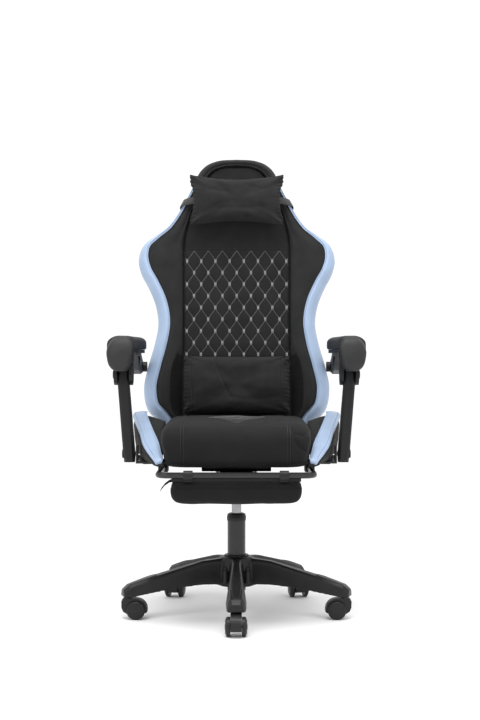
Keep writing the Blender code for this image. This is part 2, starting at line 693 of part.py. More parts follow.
def back_cover(frame, outer):
    last = len(outer) - 1
    cover = plate("back_cover", whole_loop(outer), COVER_BACK, CUSHION_BACK - GAP, "black_fabric",
                  frame)
    inner = inset(outer, [COVER_WALL] * (last + 1))
    inner[0] = (inner[0][0], inner[0][1] + COVER_WALL)
    cut(cover, plate("cover_hollow", whole_loop(inner), COVER_BACK + COVER_WALL, 0.01, None, frame))
    for side, word in SIDES:
        xs = sorted((side * 0.2236, side * 0.2314))
        cut(cover, box(f"arm_slot_{word}", (xs[0], 0.000, COVER_BACK + COVER_WALL),
                       (xs[1], 0.090, 0.01), None, frame))


def back_frame(frame, outer):
    """Bent steel tube round the back, with two arms that turn on the hinge shafts."""
    middle = inset(outer, [0.040] * len(outer))
    half = [(0.2290, 0.105)] + [p for p in middle if p[1] > 0.14]
    loop = [(u, v, FRAME_TUBE_F) for u, v in whole_loop(half)]
    made = tube("back_frame", loop, FRAME_TUBE, "black_steel", frame, closed=True)
    low, high = FRAME_TUBE_F - 0.0080, FRAME_TUBE_F + 0.0080
    outline = arc((0.0, 0.0), 0.0190, -180, 20, 10)
    outline += [(0.012, 0.019), (high, 0.038), (high, 0.150), (low, 0.150), (low, 0.020)]
    for side, word in SIDES:
        xs = (side * 0.2245, side * 0.2305)
        arm = loft(f"hinge_arm_{word}", [[(x, v, f) for f, v in outline] for x in xs], None, frame,
                   smooth=False)
        hole = rod(f"arm_hole_{word}", (side * 0.22, 0, 0), (side * 0.24, 0, 0), 0.0104, None, frame)
        join(made, arm)
        cut(made, hole)


def backrest():
    frame = back_axes()
    outer = [(s[0], s[1]) for s in BACK_STATIONS]
    ridge = inset(outer, [s[2] for s in BACK_STATIONS])
    seam = [(s[3], s[4]) for s in BACK_STATIONS]
    panel = inset(seam, [GAP] * len(seam))
    plate("back_cushion", whole_loop(panel), CUSHION_BACK, PANEL_FRONT, "panel_fabric", frame)
    back_cover(frame, outer)
    back_frame(frame, outer)
    for side, word in SIDES:
        bolster, trim = [], []
        for i, station in enumerate(BACK_STATIONS):
            s, r, o = (Vector(p) for p in (seam[i], ridge[i], outer[i]))
            if i > EDGE_END:
                r, front = o, 0.020
            else:
                front = RIDGE_FRONT
            crest = s.lerp(r, 0.45)
            bolster.append([(side * p.x, p.y, f) for p, f in (
                (s, CUSHION_BACK), (s, SEAM_FRONT), (crest, station[5]), (r, front),
                (r, CUSHION_BACK))])
            if i <= EDGE_END:
                r = r + (o - r).normalized() * GAP
                trim.append([(side * p.x, p.y, f) for p, f in (
                    (r, CUSHION_BACK), (r, RIDGE_FRONT), (o, OUTER_FRONT), (o, CUSHION_BACK))])
        # Each half stops just short of the middle of the arch.
        for point_set in bolster[-1:]:
            for k, (u, v, f) in enumerate(point_set):
                point_set[k] = (side * GAP, v, f)
        loft(f"back_bolster_{word}", bolster, "black_fabric", frame)
        loft(f"back_trim_{word}", trim, "blue_leather", frame)
    return frame


def pillow(name, frame, half, low, high, rear, front, look):
    """A soft block on the back's front face, thinner at its two ends."""
    middle, depth = (rear + front) / 2, (front - rear) / 2
    sections = []
    for share, thick in ((-1.0, 0.30), (-0.93, 0.62), (-0.70, 0.92), (0.0, 1.0), (0.70, 0.92),
                         (0.93, 0.62), (1.0, 0.30)):
        ring = cushion_section(low, high, middle - depth * thick, middle + depth * thick, 0.028)
        sections.append([(half * share, v, f) for v, f in ring])
    loft(name, sections, look, frame)


def head_strap(frame):
    """A webbing band from the head pillow's ends round the neck of the back."""
    path = ((0.1450, 0.0520, 0.716), (0.1680, 0.0500, 0.712), (0.1785, 0.0400, 0.709),
            (0.1785, -0.0390, 0.706), (0.1720, -0.0450, 0.705), (0.0, -0.0450, 0.705))
    whole = list(path) + [(-u, f, v) for u, f, v in reversed(path[:-1])]
    sections = []
    for i, (u, f, v) in enumerate(whole):
        before, after = whole[max(i - 1, 0)], whole[min(i + 1, len(whole) - 1)]
        along = Vector((after[0] - before[0], after[1] - before[1])).normalized()
        side = Vector((-along.y, along.x)) * 0.0008
        sections.append([(u + side.x, v - 0.014, f + side.y), (u - side.x, v - 0.014, f - side.y),
                         (u - side.x, v + 0.014, f - side.y), (u + side.x, v + 0.014, f + side.y)])
    loft("head_strap", sections, "webbing", frame, smooth=False)


# ------------------------------------------------------------------ armrests

def arm_bracket(side, word):
    """Steel angle from under the seat out to the foot of the armrest post."""
    outline = [(0.0950, 0.4245), (0.2725, 0.4245), (0.2725, 0.4720), (0.2680, 0.4720),
               (0.2680, 0.4290), (0.0950, 0.4290)]
    sections = [[(side * x, y, z) for x, z in outline] for y in (FOOT_Y - 0.022, FOOT_Y + 0.022)]
    made = loft(f"arm_bracket_{word}", sections, "black_steel", smooth=False)
    join(made, across(f"foot_pin_{word}", FOOT_Y, FOOT_Z, PIN_RADIUS, side * 0.2700, side * 0.3030))


def arm_post(side, word):
    """The upright link, round at both ends, with a bore for the pin at each."""
    sections = []
    for z, inner, outer in POST_STATIONS:
        lean = LINK_Y * (z - FOOT_Z) / LINK_Z
        sections.append((z, inner, outer, FOOT_Y + lean))
    low_z, high_z = sections[0][0], sections[-1][0]
    rings = []
    for z, inner, outer, y in sections:
        narrow = 0.0130 if z in (low_z, high_z) else POST_HALF_DEPTH
        ring = cushion_section(inner, outer, -narrow, narrow, 0.006)
        rings.append([(side * x, y + d, z) for x, d in ring])
        if z == low_z:
            ring = cushion_section(inner, outer, -0.0205, 0.0205, 0.006)
            rings.append([(side * x, y + 0.001 + d, z + 0.0095) for x, d in ring])
    top_inner, top_outer, top_y = sections[-1][1:]
    ring = cushion_section(top_inner, top_outer, -0.0205, 0.0205, 0.006)
    rings.insert(-1, [(side * x, top_y - 0.0015 + d, high_z - 0.0095) for x, d in ring])
    made = loft(f"arm_post_{word}", rings, "black_plastic")
    for label, y, z in (("foot", FOOT_Y, FOOT_Z), ("top", FOOT_Y + LINK_Y, FOOT_Z + LINK_Z)):
        cut(made, across(f"post_{label}_bore_{word}", y, z, POST_BORE, side * 0.26, side * 0.345))


def arm_shell(side, word):
    """The moulding under the pad: a clevis on the post, and a strut back to the rear pivot."""
    top_y, top_z = FOOT_Y + LINK_Y, FOOT_Z + LINK_Z
    rear_y, rear_z = RECLINE_Y + LINK_Y, RECLINE_Z + LINK_Z
    sections = []
    for y in (-0.0965, -0.0400, 0.0600, 0.1250, 0.1450):
        row = between(PAD_STATIONS, y)
        inner, outer = row[1] + 0.004, row[2] - 0.004
        if y > 0.14:
            inner, outer = inner + 0.004, outer - 0.006
        sections.append([(side * inner, y, 0.7250), (side * outer, y, 0.7250),
                         (side * outer, y, 0.7350), (side * inner, y, 0.7350)])
    made = loft(f"arm_shell_{word}", sections, "black_plastic", smooth=False)
    cheek = arc((top_y, top_z), 0.0290, 180, 360, 10) + [(top_y + 0.0290, 0.7300),
                                                          (top_y - 0.0265, 0.7300)]
    for label, xs in (("in", CHEEK_IN), ("out", CHEEK_OUT)):
        join(made, side_plate(f"cheek_{label}_{word}", cheek, side * xs[0], side * xs[1]))
    xs = sorted((side * CHEEK_IN[0], side * CHEEK_OUT[1]))
    join(made, box(f"front_web_{word}", (xs[0], top_y - 0.0265, 0.6900),
                   (xs[1], top_y - 0.0235, 0.7300)))
    join(made, across(f"top_pin_{word}", top_y, top_z, PIN_RADIUS, side * (CHEEK_IN[0] + 0.001),
                      side * (CHEEK_OUT[1] - 0.001)))
    strut = [(-0.0300, 0.7300), (0.0200, 0.7080), (0.0900, 0.6760), (0.1500, 0.6640)]
    strut += arc((rear_y, rear_z), 0.0170, -110, 80, 10)
    strut += [(0.2000, 0.7130), (0.1550, 0.7300)]
    join(made, side_plate(f"strut_{word}", strut, side * STRUT[0], side * STRUT[1]))
    hole = [(0.0520, 0.7160), (0.1000, 0.6920), (0.1260, 0.6900), (0.1320, 0.7160)]
    cut(made, side_plate(f"strut_window_{word}", hole, side * 0.25, side * 0.35))
    cut(made, across(f"rear_bore_{word}", rear_y, rear_z, 0.0065, side * 0.26, side * 0.33))


def arm_pad(side, word):
    sections = []
    for y, inner, outer, low, high in PAD_STATIONS:
        ring = cushion_section(inner, outer, low, high, 0.010)
        sections.append([(side * x, y, z) for x, z in ring])
    loft(f"arm_pad_{word}", sections, "soft_pad")


def back_pivot(side, word):
    """The boss on the back's side that carries the arm's rear pivot."""
    y, z = RECLINE_Y + LINK_Y, RECLINE_Z + LINK_Z
    made = across(f"back_pivot_{word}", y, z, 0.0150, side * 0.2670, side * 0.2785, "black_plastic")
    join(made, across(f"rear_pin_{word}", y, z, 0.0050, side * 0.2770, side * 0.3060, sides=16))


# ------------------------------------------------------------------ footrest

def footrest():
    bend = BEND_RADIUS
    corner = arc((RAIL_X - bend, BAR_Y + bend), bend, -90, 0, 6)
    half = corner + [(RAIL_X, RAIL_REAR)]
    path = [(-x, y, RAIL_Z) for x, y in reversed(half)] + [(x, y, RAIL_Z) for x, y in half]
    tube("footrest_frame", path, RAIL_RADIUS, "black_steel", resolution=2)
    for side, word in SIDES:
        xs = sorted((side * 0.1885, side * 0.2150))
        guide = box(f"footrest_guide_{word}", (xs[0], GUIDE_Y[0], 0.3970),
                    (xs[1], GUIDE_Y[1], 0.4295), "black_plastic")
        cut(guide, rod(f"guide_bore_{word}", (side * RAIL_X, GUIDE_Y[0] - 0.01, RAIL_Z),
                       (side * RAIL_X, GUIDE_Y[1] + 0.01, RAIL_Z), RAIL_RADIUS + 0.0005, sides=16))
    board = box("footrest_board", (-0.168, -0.278, PAD_TOP + GAP), (0.168, -0.120, BOARD_TOP),
                "black_plastic")
    for side, word in SIDES:
        xs = sorted((side * 0.112, side * 0.136))
        join(board, across(f"lug_{word}", BAR_Y, RAIL_Z, 0.0125, xs[0], xs[1]),
             box(f"lug_arm_{word}", (xs[0], BAR_Y + 0.006, PAD_TOP + GAP),
                 (xs[1], -0.270, RAIL_Z - 0.001)))
        cut(board, across(f"lug_bore_{word}", BAR_Y, RAIL_Z, RAIL_RADIUS + 0.0005, xs[0] - 0.01,
                          xs[1] + 0.01))
    sections = []
    for y, shrink, low in ((PAD_FRONT, 0.020, 0.012), (PAD_FRONT + 0.008, 0.006, 0.003),
                           (PAD_FRONT + 0.025, 0.0, 0.0), (PAD_REAR - 0.012, 0.0, 0.0),
                           (PAD_REAR, 0.012, 0.008)):
        ring = cushion_section(shrink - PAD_HALF, PAD_HALF - shrink, PAD_BOTTOM + low,
                               PAD_TOP - 0.0045 * (y == PAD_FRONT), 0.014)
        sections.append([(x, y, z) for x, z in ring])
    loft("footrest_pad", sections, "black_fabric")


# ------------------------------------------------------------------ the whole chair

def build():
    for obj in list(bpy.data.objects):
        bpy.data.objects.remove(obj, do_unlink=True)
    new_collection("gaming_chair")
    new_collection("helpers", hidden=True)
    star_base()
    for index in range(LEG_COUNT):
        caster(index)
    gas_lift()
    tilt_housing()
    across("tilt_pin", TILT_Y, TILT_Z, 0.0050, -0.0575, 0.0575, "bright_steel", sides=16)
    seat_plate()
    tension_knob()
    tilt_spring()
    lift_lever()
    seat_frame()
    seat_cushion()
    recline_lever()
    frame = backrest()
    pillow("head_pillow", frame, 0.1410, 0.6270, 0.7860, 0.0500, 0.1180, "black_fabric")
    pillow("lumbar_pillow", frame, 0.1570, 0.0780, 0.2450, 0.0365, 0.1180, "black_fabric")
    head_strap(frame)
    for side, word in SIDES:
        seat_wing(side, word)
        hinge_plate(side, word)
        arm_bracket(side, word)
        arm_post(side, word)
        arm_shell(side, word)
        arm_pad(side, word)
        back_pivot(side, word)
    footrest()


build()
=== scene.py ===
"""The looks of a gaming chair, built round its CAD model."""

import math

import bmesh
import bpy
from mathutils import Matrix, Vector, noise


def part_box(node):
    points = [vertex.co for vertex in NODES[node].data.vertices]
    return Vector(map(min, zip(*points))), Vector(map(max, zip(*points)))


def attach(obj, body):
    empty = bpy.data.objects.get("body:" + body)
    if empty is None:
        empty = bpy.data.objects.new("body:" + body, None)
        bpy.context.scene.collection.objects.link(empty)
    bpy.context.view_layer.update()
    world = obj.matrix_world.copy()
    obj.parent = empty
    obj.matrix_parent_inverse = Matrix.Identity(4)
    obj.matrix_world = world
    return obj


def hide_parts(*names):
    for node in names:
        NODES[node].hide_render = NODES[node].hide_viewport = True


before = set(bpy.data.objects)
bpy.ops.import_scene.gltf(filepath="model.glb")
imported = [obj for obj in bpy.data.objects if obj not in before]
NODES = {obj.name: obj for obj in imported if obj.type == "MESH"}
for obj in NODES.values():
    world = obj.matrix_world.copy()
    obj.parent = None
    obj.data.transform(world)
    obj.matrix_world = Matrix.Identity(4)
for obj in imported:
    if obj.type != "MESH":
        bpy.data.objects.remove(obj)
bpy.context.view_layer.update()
SIDES = ((1, "left"), (-1, "right"))

# The backrest's own frame: across, forward and up, from the recline axis.
HINGE_Y = 0.205
HINGE_Z = 0.470
LEAN = math.radians(8.0)
REAR = -0.0198                     # rear face of the back's cushions
COVER_FRONT = -0.0210
COVER_REAR = -0.0420
BACK_FOOT = -0.005                 # height of the back's lower edge
PANEL_TOP = 0.824                  # height of the centre panel's upper edge
PANEL_FRONT = 0.0330               # how far forward the centre panel stands at its sides

# Outer half-width, height, width of the light side panel, half-width and height of the inner
# seam, and how far forward the bolster's crest stands.
BACK_STATIONS = (
    (0.196, -0.005, 0.032, 0.140, -0.005, 0.044),
    (0.225, 0.045, 0.034, 0.158, 0.045, 0.054),
    (0.262, 0.085, 0.036, 0.160, 0.085, 0.060),
    (0.275, 0.150, 0.037, 0.160, 0.150, 0.064),
    (0.262, 0.220, 0.037, 0.160, 0.220, 0.062),
    (0.243, 0.290, 0.036, 0.160, 0.290, 0.056),
    (0.234, 0.345, 0.035, 0.160, 0.345, 0.052),
    (0.242, 0.400, 0.034, 0.160, 0.400, 0.050),
    (0.264, 0.455, 0.032, 0.160, 0.455, 0.050),
    (0.287, 0.500, 0.031, 0.160, 0.500, 0.050),
    (0.295, 0.535, 0.030, 0.160, 0.535, 0.050),
    (0.280, 0.585, 0.022, 0.160, 0.575, 0.049),
    (0.242, 0.615, 0.015, 0.158, 0.600, 0.048),
    (0.208, 0.640, 0.012, 0.154, 0.622, 0.047),
    (0.188, 0.665, 0.011, 0.146, 0.650, 0.046),
    (0.172, 0.690, 0.010, 0.137, 0.680, 0.046),
    (0.154, 0.722, 0.009, 0.122, 0.712, 0.046),
    (0.137, 0.755, 0.008, 0.107, 0.744, 0.046),
    (0.128, 0.775, 0.008, 0.099, 0.764, 0.046),
    (0.110, 0.812, 0.010, 0.084, 0.795, 0.045),
    (0.088, 0.832, 0.010, 0.068, 0.810, 0.044),
    (0.060, 0.843, 0.010, 0.045, 0.819, 0.044),
    (0.000, 0.848, 0.010, 0.000, 0.824, 0.044),
)
TRIM_END = 0.775                   # height where the light panels stop and the black rim begins
BACK_SAMPLES = 150                 # sections along one half of the outline

# The quilted panel: width of a diamond, height between rows of knots, its upper and lower seam,
# the first row of knots and its half-width.
DIAMOND = 0.0424
ROW = 0.0353
QUILT_TOP = 0.564
QUILT_BOTTOM = 0.110
FIRST_KNOTS = 0.5305
QUILT_HALF = 0.157
PUFF = 0.0034                      # how far the padding stands out in a diamond's middle
STRAND_RADIUS = 0.0007
KNOT_RADIUS = 0.0013
KNOT_LENGTH = 0.0115
KNOT_OFFSET = 0.0017               # from a crossing to each of its two upright stitches

# Distance along the seat, inner edge, outer edge and height of the seat's raised sides, and
# where their lower rim runs.
WING_STATIONS = (
    (-0.264, 0.1925, 0.2090, 0.446, 0.203),
    (-0.245, 0.1945, 0.2175, 0.455, 0.212),
    (-0.225, 0.1985, 0.2270, 0.464, 0.219),
    (-0.170, 0.2080, 0.2480, 0.485, 0.238),
    (-0.090, 0.2270, 0.2640, 0.512, 0.256),
    (0.000, 0.2465, 0.2840, 0.540, 0.268),
    (0.090, 0.2600, 0.2970, 0.556, 0.284),
    (0.155, 0.2620, 0.2970, 0.556, 0.287),
)
# Distance along the seat, half-width, bottom and top of the seat cushion.
CUSHION_STATIONS = (
    (-0.274, 0.178, 0.440, 0.500),
    (-0.264, 0.1865, 0.432, 0.519),
    (-0.245, 0.1895, 0.430, 0.533),
    (-0.225, 0.192, 0.430, 0.538),
    (-0.170, 0.198, 0.430, 0.5435),
    (-0.090, 0.203, 0.430, 0.545),
    (0.090, 0.203, 0.430, 0.545),
    (0.134, 0.203, 0.430, 0.540),
    (0.143, 0.203, 0.432, 0.528),
)

# Where the seat's two seams run, and each row of a doubled seam: its number and how far it is
# from the middle.
SEAT_SEAMS = (-0.141, 0.137)
SEAM_ROWS = ((1, 0.0035), (2, -0.0035))
SEAM_RADIUS = 0.0004

# Distance along the arm pad, inner and outer edge, bottom and top.
PAD_STATIONS = (
    (-0.152, 0.290, 0.342, 0.680, 0.722),
    (-0.144, 0.2815, 0.350, 0.6745, 0.748),
    (-0.124, 0.278, 0.3525, 0.680, 0.763),
    (-0.107, 0.278, 0.3525, 0.690, 0.769),
    (-0.101, 0.278, 0.3525, 0.7355, 0.770),
    (-0.040, 0.2765, 0.3515, 0.7355, 0.770),
    (0.060, 0.269, 0.345, 0.7355, 0.770),
    (0.125, 0.262, 0.338, 0.7355, 0.769),
    (0.144, 0.263, 0.334, 0.736, 0.764),
    (0.152, 0.269, 0.327, 0.739, 0.754),
)

# Distance from the axis, half-width and height of the raised panel on each leg.
LEG_PANEL = (
    (0.232, 0.0095, 0.1155),
    (0.250, 0.0128, 0.1110),
    (0.300, 0.0098, 0.0958),
    (0.309, 0.0080, 0.0930),
)
HUB_BOSS_REACH = 0.0500            # from the axis to each boss on the hub
HUB_BOSS_RADIUS = 0.0105

# The cloth simulation's steps, and the smallest gap between points that are kept apart.
CLOTH_STEPS = 18
WELD = 0.00002

CAMERA_AT = (0.0098, -3.6, 0.705)
CAMERA_LENS = 64.25


# ------------------------------------------------------------------ curves and meshes

def on_back(across, forward, up):
    """A point given in the backrest's own frame, in the chair's frame."""
    return Vector((across, HINGE_Y - forward * math.cos(LEAN) + up * math.sin(LEAN),
                   HINGE_Z + forward * math.sin(LEAN) + up * math.cos(LEAN)))


def clamp(value, low=0.0, high=1.0):
    return max(low, min(high, value))


def smooth(value, low, high):
    """0 below low, 1 above high and a soft step between them."""
    part = clamp((value - low) / (high - low))
    return part * part * (3 - 2 * part)


def mix(near, far, part):
    return [a + (b - a) * part for a, b in zip(near, far)]


def resample(rows, count, key, tight=False):
    """Rows read at even steps from a smooth curve through the given ones.  The columns in key
    measure the distance between rows, and a tight curve never swings past its rows."""
    knots = [0.0]
    for near, far in zip(rows, rows[1:]):
        knots.append(knots[-1] + math.dist([near[k] for k in key], [far[k] for k in key]))
    slopes = []
    for i in range(len(rows)):
        before = max(i - 1, 0)
        after = min(i + 1, len(rows) - 1)
        row = []
        for c in range(len(rows[0])):
            if before == i or after == i:
                row.append((rows[after][c] - rows[before][c]) / (knots[after] - knots[before]))
                continue
            near = knots[i] - knots[before]
            far = knots[after] - knots[i]
            rise = (rows[i][c] - rows[before][c]) / near
            fall = (rows[after][c] - rows[i][c]) / far
            slope = (rise * far + fall * near) / (near + far)
            if tight:
                most = 0.0 if rise * fall <= 0 else 3 * min(abs(rise), abs(fall))
                slope = clamp(slope, -most, most)
            row.append(slope)
        slopes.append(row)
    made = []
    i = 0
    for step in range(count):
        at = knots[-1] * step / (count - 1)
        while i < len(rows) - 2 and at > knots[i + 1]:
            i += 1
        span = knots[i + 1] - knots[i]
        t = (at - knots[i]) / span
        made.append([
            (2 * t ** 3 - 3 * t ** 2 + 1) * rows[i][c]
            + (t ** 3 - 2 * t ** 2 + t) * span * slopes[i][c]
            + (3 * t ** 2 - 2 * t ** 3) * rows[i + 1][c]
            + (t ** 3 - t ** 2) * span * slopes[i + 1][c]
            for c in range(len(rows[0]))
        ])
    return made


def rounded(ring, steps=1):
    """A closed ring of points with every corner cut off, once for each step."""
    for _ in range(steps):
        cut = []
        for i, near in enumerate(ring):
            far = ring[(i + 1) % len(ring)]
            cut.append(mix(near, far, 0.25))
            cut.append(mix(near, far, 0.75))
        ring = cut
    return ring


def symmetric(low, right, high):
    """A closed section from the height of its lowest point, its right half and its top's height."""
    left = [(-x, z) for x, z in reversed(right)]
    return left[-1:] + [(0.0, low)] + right + [(0.0, high)] + left[:-1]


def to_object(name, bm, look, body=None, slot=None, replaces=(), sharp=None):
    """A finished piece: smooth shaded, riding on its body and standing for its CAD nodes."""
    bmesh.ops.remove_doubles(bm, verts=bm.verts, dist=WELD)
    bmesh.ops.recalc_face_normals(bm, faces=bm.faces)
    mesh = bpy.data.meshes.new(name)
    bm.to_mesh(mesh)
    bm.free()
    mesh.shade_smooth()
    if sharp:
        mesh.set_sharp_from_angle(angle=math.radians(sharp))
    mesh.materials.append(look)
    obj = bpy.data.objects.new(name, mesh)
    bpy.context.scene.collection.objects.link(obj)
    if body:
        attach(obj, body)
    if replaces:
        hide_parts(*replaces)
    return obj


def add_rings(bm, rings, closed=False):
    """Quads between rings of equal length, which run round to the first or are capped."""
    loops = [[bm.verts.new(point) for point in ring] for ring in rings]
    count = len(loops[0])
    pairs = list(zip(loops, loops[1:]))
    if closed:
        pairs.append((loops[-1], loops[0]))
    for near, far in pairs:
        for i in range(count):
            j = (i + 1) % count
            bm.faces.new((near[i], near[j], far[j], far[i]))
    if not closed:
        bm.faces.new(loops[0])
        bm.faces.new(loops[-1])


def circle(centre, first, second, radius, sides):
    """Points round a circle that lies in the plane of two unit vectors."""
    return [centre + (first * math.cos(a) + second * math.sin(a)) * radius
            for a in (2 * math.pi * k / sides for k in range(sides))]


def lofted(name, rings, *looks, **more):
    """A finished piece whose skin runs over a row of rings."""
    bm = bmesh.new()
    add_rings(bm, rings)
    return to_object(name, bm, *looks, **more)


def add_tube(bm, points, radius, sides):
    """A round tube along a line of points."""
    normal = None
    rings = []
    for i, point in enumerate(points):
        way = (points[min(i + 1, len(points) - 1)] - points[max(i - 1, 0)]).normalized()
        if normal is None:
            normal = way.orthogonal()
        normal = (normal - way * normal.dot(way)).normalized()
        rings.append(circle(point, normal, way.cross(normal), radius, sides))
    add_rings(bm, rings)


def tubes(name, lines, radius, sides, look, body, slot=None):
    """A finished piece made of a round tube along each line."""
    bm = bmesh.new()
    for line in lines:
        add_tube(bm, [Vector(point) for point in line], radius, sides)
    to_object(name, bm, look, body, slot)


def stitched(name, lines, stitch, pause, radius, look, body):
    """A finished piece made of stitches along each line, with a pause between them."""
    runs = []
    for line in lines:
        total = 0.0
        runs.append([])
        for near, far in zip(line, line[1:]):
            near, far = Vector(near), Vector(far)
            steps = max(1, round((far - near).length / 0.0012))
            for k in range(steps):
                total += (far - near).length / steps
                if total % (stitch + pause) < stitch:
                    runs[-1].append(near.lerp(far, k / steps))
                elif runs[-1]:
                    runs.append([])
    tubes(name, [run for run in runs if len(run) > 1], radius, 5, look, body)


def add_box(bm, low, high):
    low, high = Vector(low), Vector(high)
    made = bmesh.ops.create_cube(bm, size=1.0)["verts"]
    bmesh.ops.scale(bm, vec=high - low, verts=made)
    bmesh.ops.translate(bm, vec=(low + high) / 2, verts=made)


def add_lathe(bm, profile, sides=48):
    """A ring about the upright axis, from a closed profile of radius and height."""
    add_rings(bm, [[(r * math.cos(a), r * math.sin(a), z) for r, z in profile]
                   for a in (2 * math.pi * k / sides for k in range(sides))], closed=True)


def slab(bm, rows, backing):
    """A closed solid from a grid of (across, forward, up) points on the back and a flat backing."""
    front = [[bm.verts.new(on_back(*point)) for point in row] for row in rows]
    rear = [[bm.verts.new(on_back(point[0], backing, point[2])) for point in row] for row in rows]
    wide = len(rows[0])
    for grid in (front, rear):
        for near, far in zip(grid, grid[1:]):
            for i in range(wide - 1):
                bm.faces.new((near[i], near[i + 1], far[i + 1], far[i]))
    border = [(0, i) for i in range(wide)]
    border += [(k, wide - 1) for k in range(1, len(rows))]
    border += [(len(rows) - 1, i) for i in range(wide - 2, -1, -1)]
    border += [(k, 0) for k in range(len(rows) - 2, 0, -1)]
    for (a, b), (c, d) in zip(border, border[1:] + border[:1]):
        bm.faces.new((front[a][b], front[c][d], rear[c][d], rear[a][b]))


# ------------------------------------------------------------------ materials

class Finish:
    """A Principled material and short ways to add nodes to it."""

    def __init__(self, name, colour, roughness, metallic=0.0, **sockets):
        self.material = bpy.data.materials.new(name)
        self.material.use_nodes = True
        self.tree = self.material.node_tree
        self.shader = self.tree.nodes["Principled BSDF"]
        self.set("Base Color", (*colour, 1.0))
        self.set("Roughness", roughness)
        self.set("Metallic", metallic)
        for key, value in sockets.items():
            self.set(key.replace("_", " "), value)
        self.colour = colour
        self.bump = None

    def set(self, socket, value):
        self.shader.inputs[socket].default_value = value

    def node(self, kind, settings=None, **inputs):
        made = self.tree.nodes.new(kind)
        for key, value in (settings or {}).items():
            setattr(made, key, value)
        for key, value in inputs.items():
            socket = made.inputs[int(key[1:])] if key[1:].isdigit() else made.inputs[key.replace("_", " ")]
            if isinstance(value, bpy.types.NodeSocket):
                self.tree.links.new(value, socket)
            else:
                socket.default_value = value
        return made

    def link(self, output, socket):
        self.tree.links.new(output, self.shader.inputs[socket])

    def math(self, operation, a, b=0.0):
        return self.node("ShaderNodeMath", {"operation": operation}, i0=a, i1=b).outputs[0]

    def place(self):
        """Object coordinates, in metres."""
        return self.node("ShaderNodeTexCoord").outputs["Object"]

    def noise(self, scale, detail=3.0, where=None):
        return self.node("ShaderNodeTexNoise", Vector=where or self.place(), Scale=scale,
                         Detail=detail).outputs["Fac"]

    def cells(self, scale):
        return self.node("ShaderNodeTexVoronoi", Vector=self.place(), Scale=scale).outputs["Distance"]

    def tint(self, factor, low, high, shades):
        """Base colour that runs between two shades of the colour as the factor runs low to high."""
        spread = self.node("ShaderNodeMapRange", i0=factor, i1=low, i2=high)
        ramp = self.node("ShaderNodeMix", {"data_type": "RGBA"}, i0=spread.outputs[0])
        for socket, shade in zip((6, 7), shades):
            ramp.inputs[socket].default_value = (*(c * shade for c in self.colour), 1.0)
        self.link(ramp.outputs[2], "Base Color")

    def gloss(self, factor, low, high):
        """Roughness between two values as the factor runs from 0.3 to 0.7."""
        spread = self.node("ShaderNodeMapRange", i0=factor, i1=0.3, i2=0.7, i3=low, i4=high)
        self.link(spread.outputs[0], "Roughness")

    def relief(self, height, distance, strength=1.0):
        made = self.node("ShaderNodeBump", Height=height, Distance=distance, Strength=strength)
        if self.bump:
            self.tree.links.new(self.bump, made.inputs["Normal"])
        self.bump = made.outputs[0]
        self.link(self.bump, "Normal")

    def weave(self, pitch):
        """A woven height from -1 to 1 on whichever plane the surface mostly faces."""
        turns = self.node("ShaderNodeVectorMath", {"operation": "SCALE"}, i0=self.place(),
                          Scale=2 * math.pi / pitch)
        axes = self.node("ShaderNodeSeparateXYZ", i0=turns.outputs[0]).outputs
        facing = self.node("ShaderNodeTexCoord").outputs["Normal"]
        facing = self.node("ShaderNodeVectorMath", {"operation": "ABSOLUTE"}, i0=facing).outputs[0]
        facing = self.node("ShaderNodeSeparateXYZ", i0=facing).outputs
        total = None
        for flat, (a, b) in ((0, (1, 2)), (1, (0, 2)), (2, (0, 1))):
            wave = self.math("MULTIPLY", self.math("SINE", axes[a]), self.math("SINE", axes[b]))
            part = self.math("MULTIPLY", wave, facing[flat])
            total = self.math("ADD", total, part) if total else part
        return total


def fabric(name, colour, pitch=0.0013, roughness=0.92, sheen=0.03):
    """Matte woven cloth: threads, flecks of lighter yarn and soft cloudy wear."""
    made = Finish(name, colour, roughness, Sheen_Weight=sheen, Sheen_Roughness=0.55,
                  Specular_IOR_Level=0.12)
    woven = made.weave(pitch)
    cloud = made.noise(24.0)
    fleck = made.noise(1100.0, 2.0)
    both = made.math("ADD", made.math("MULTIPLY", cloud, 0.5), made.math("MULTIPLY", fleck, 0.5))
    made.tint(made.math("ADD", both, made.math("MULTIPLY", woven, 0.08)), 0.32, 0.68, (0.72, 1.34))
    made.relief(made.noise(90.0, 4.0), 0.0008, 0.35)
    made.relief(woven, 0.00022, 0.8)
    made.gloss(cloud, roughness - 0.06, min(roughness + 0.05, 1.0))
    return made.material


def leather(name, colour, roughness, shades=(0.93, 1.05)):
    """Coated leather: pebbled grain, fine creases and slightly uneven gloss."""
    made = Finish(name, colour, roughness, Specular_IOR_Level=0.5, Coat_Weight=0.08, Coat_Roughness=0.3)
    cloud = made.noise(18.0)
    made.tint(cloud, 0.30, 0.70, shades)
    made.relief(made.noise(70.0, 5.0), 0.0010, 0.20)
    made.relief(made.cells(900.0), 0.00012, 0.8)
    made.gloss(made.noise(140.0, 4.0), roughness - 0.05, roughness + 0.08)
    return made.material


def moulded(name, colour, roughness, grain=0.00006, scale=1500.0):
    """Moulded plastic: fine spark texture, faint flow marks and lighter colour on convex edges."""
    made = Finish(name, colour, roughness, Specular_IOR_Level=0.28)
    made.relief(made.noise(scale, 2.0), grain, 0.9)
    cloud = made.noise(30.0, 5.0)
    # convex edges, found from the mesh's pointiness, are made lighter, with random tone from the cloud
    # added
    edge = made.node("ShaderNodeNewGeometry").outputs["Pointiness"]
    edge_and_tone = made.math("ADD", made.math("MULTIPLY", cloud, 0.2), edge)
    made.tint(edge_and_tone, 0.56, 0.68, (0.92, 1.55))
    made.gloss(cloud, roughness - 0.06, roughness + 0.08)
    return made.material


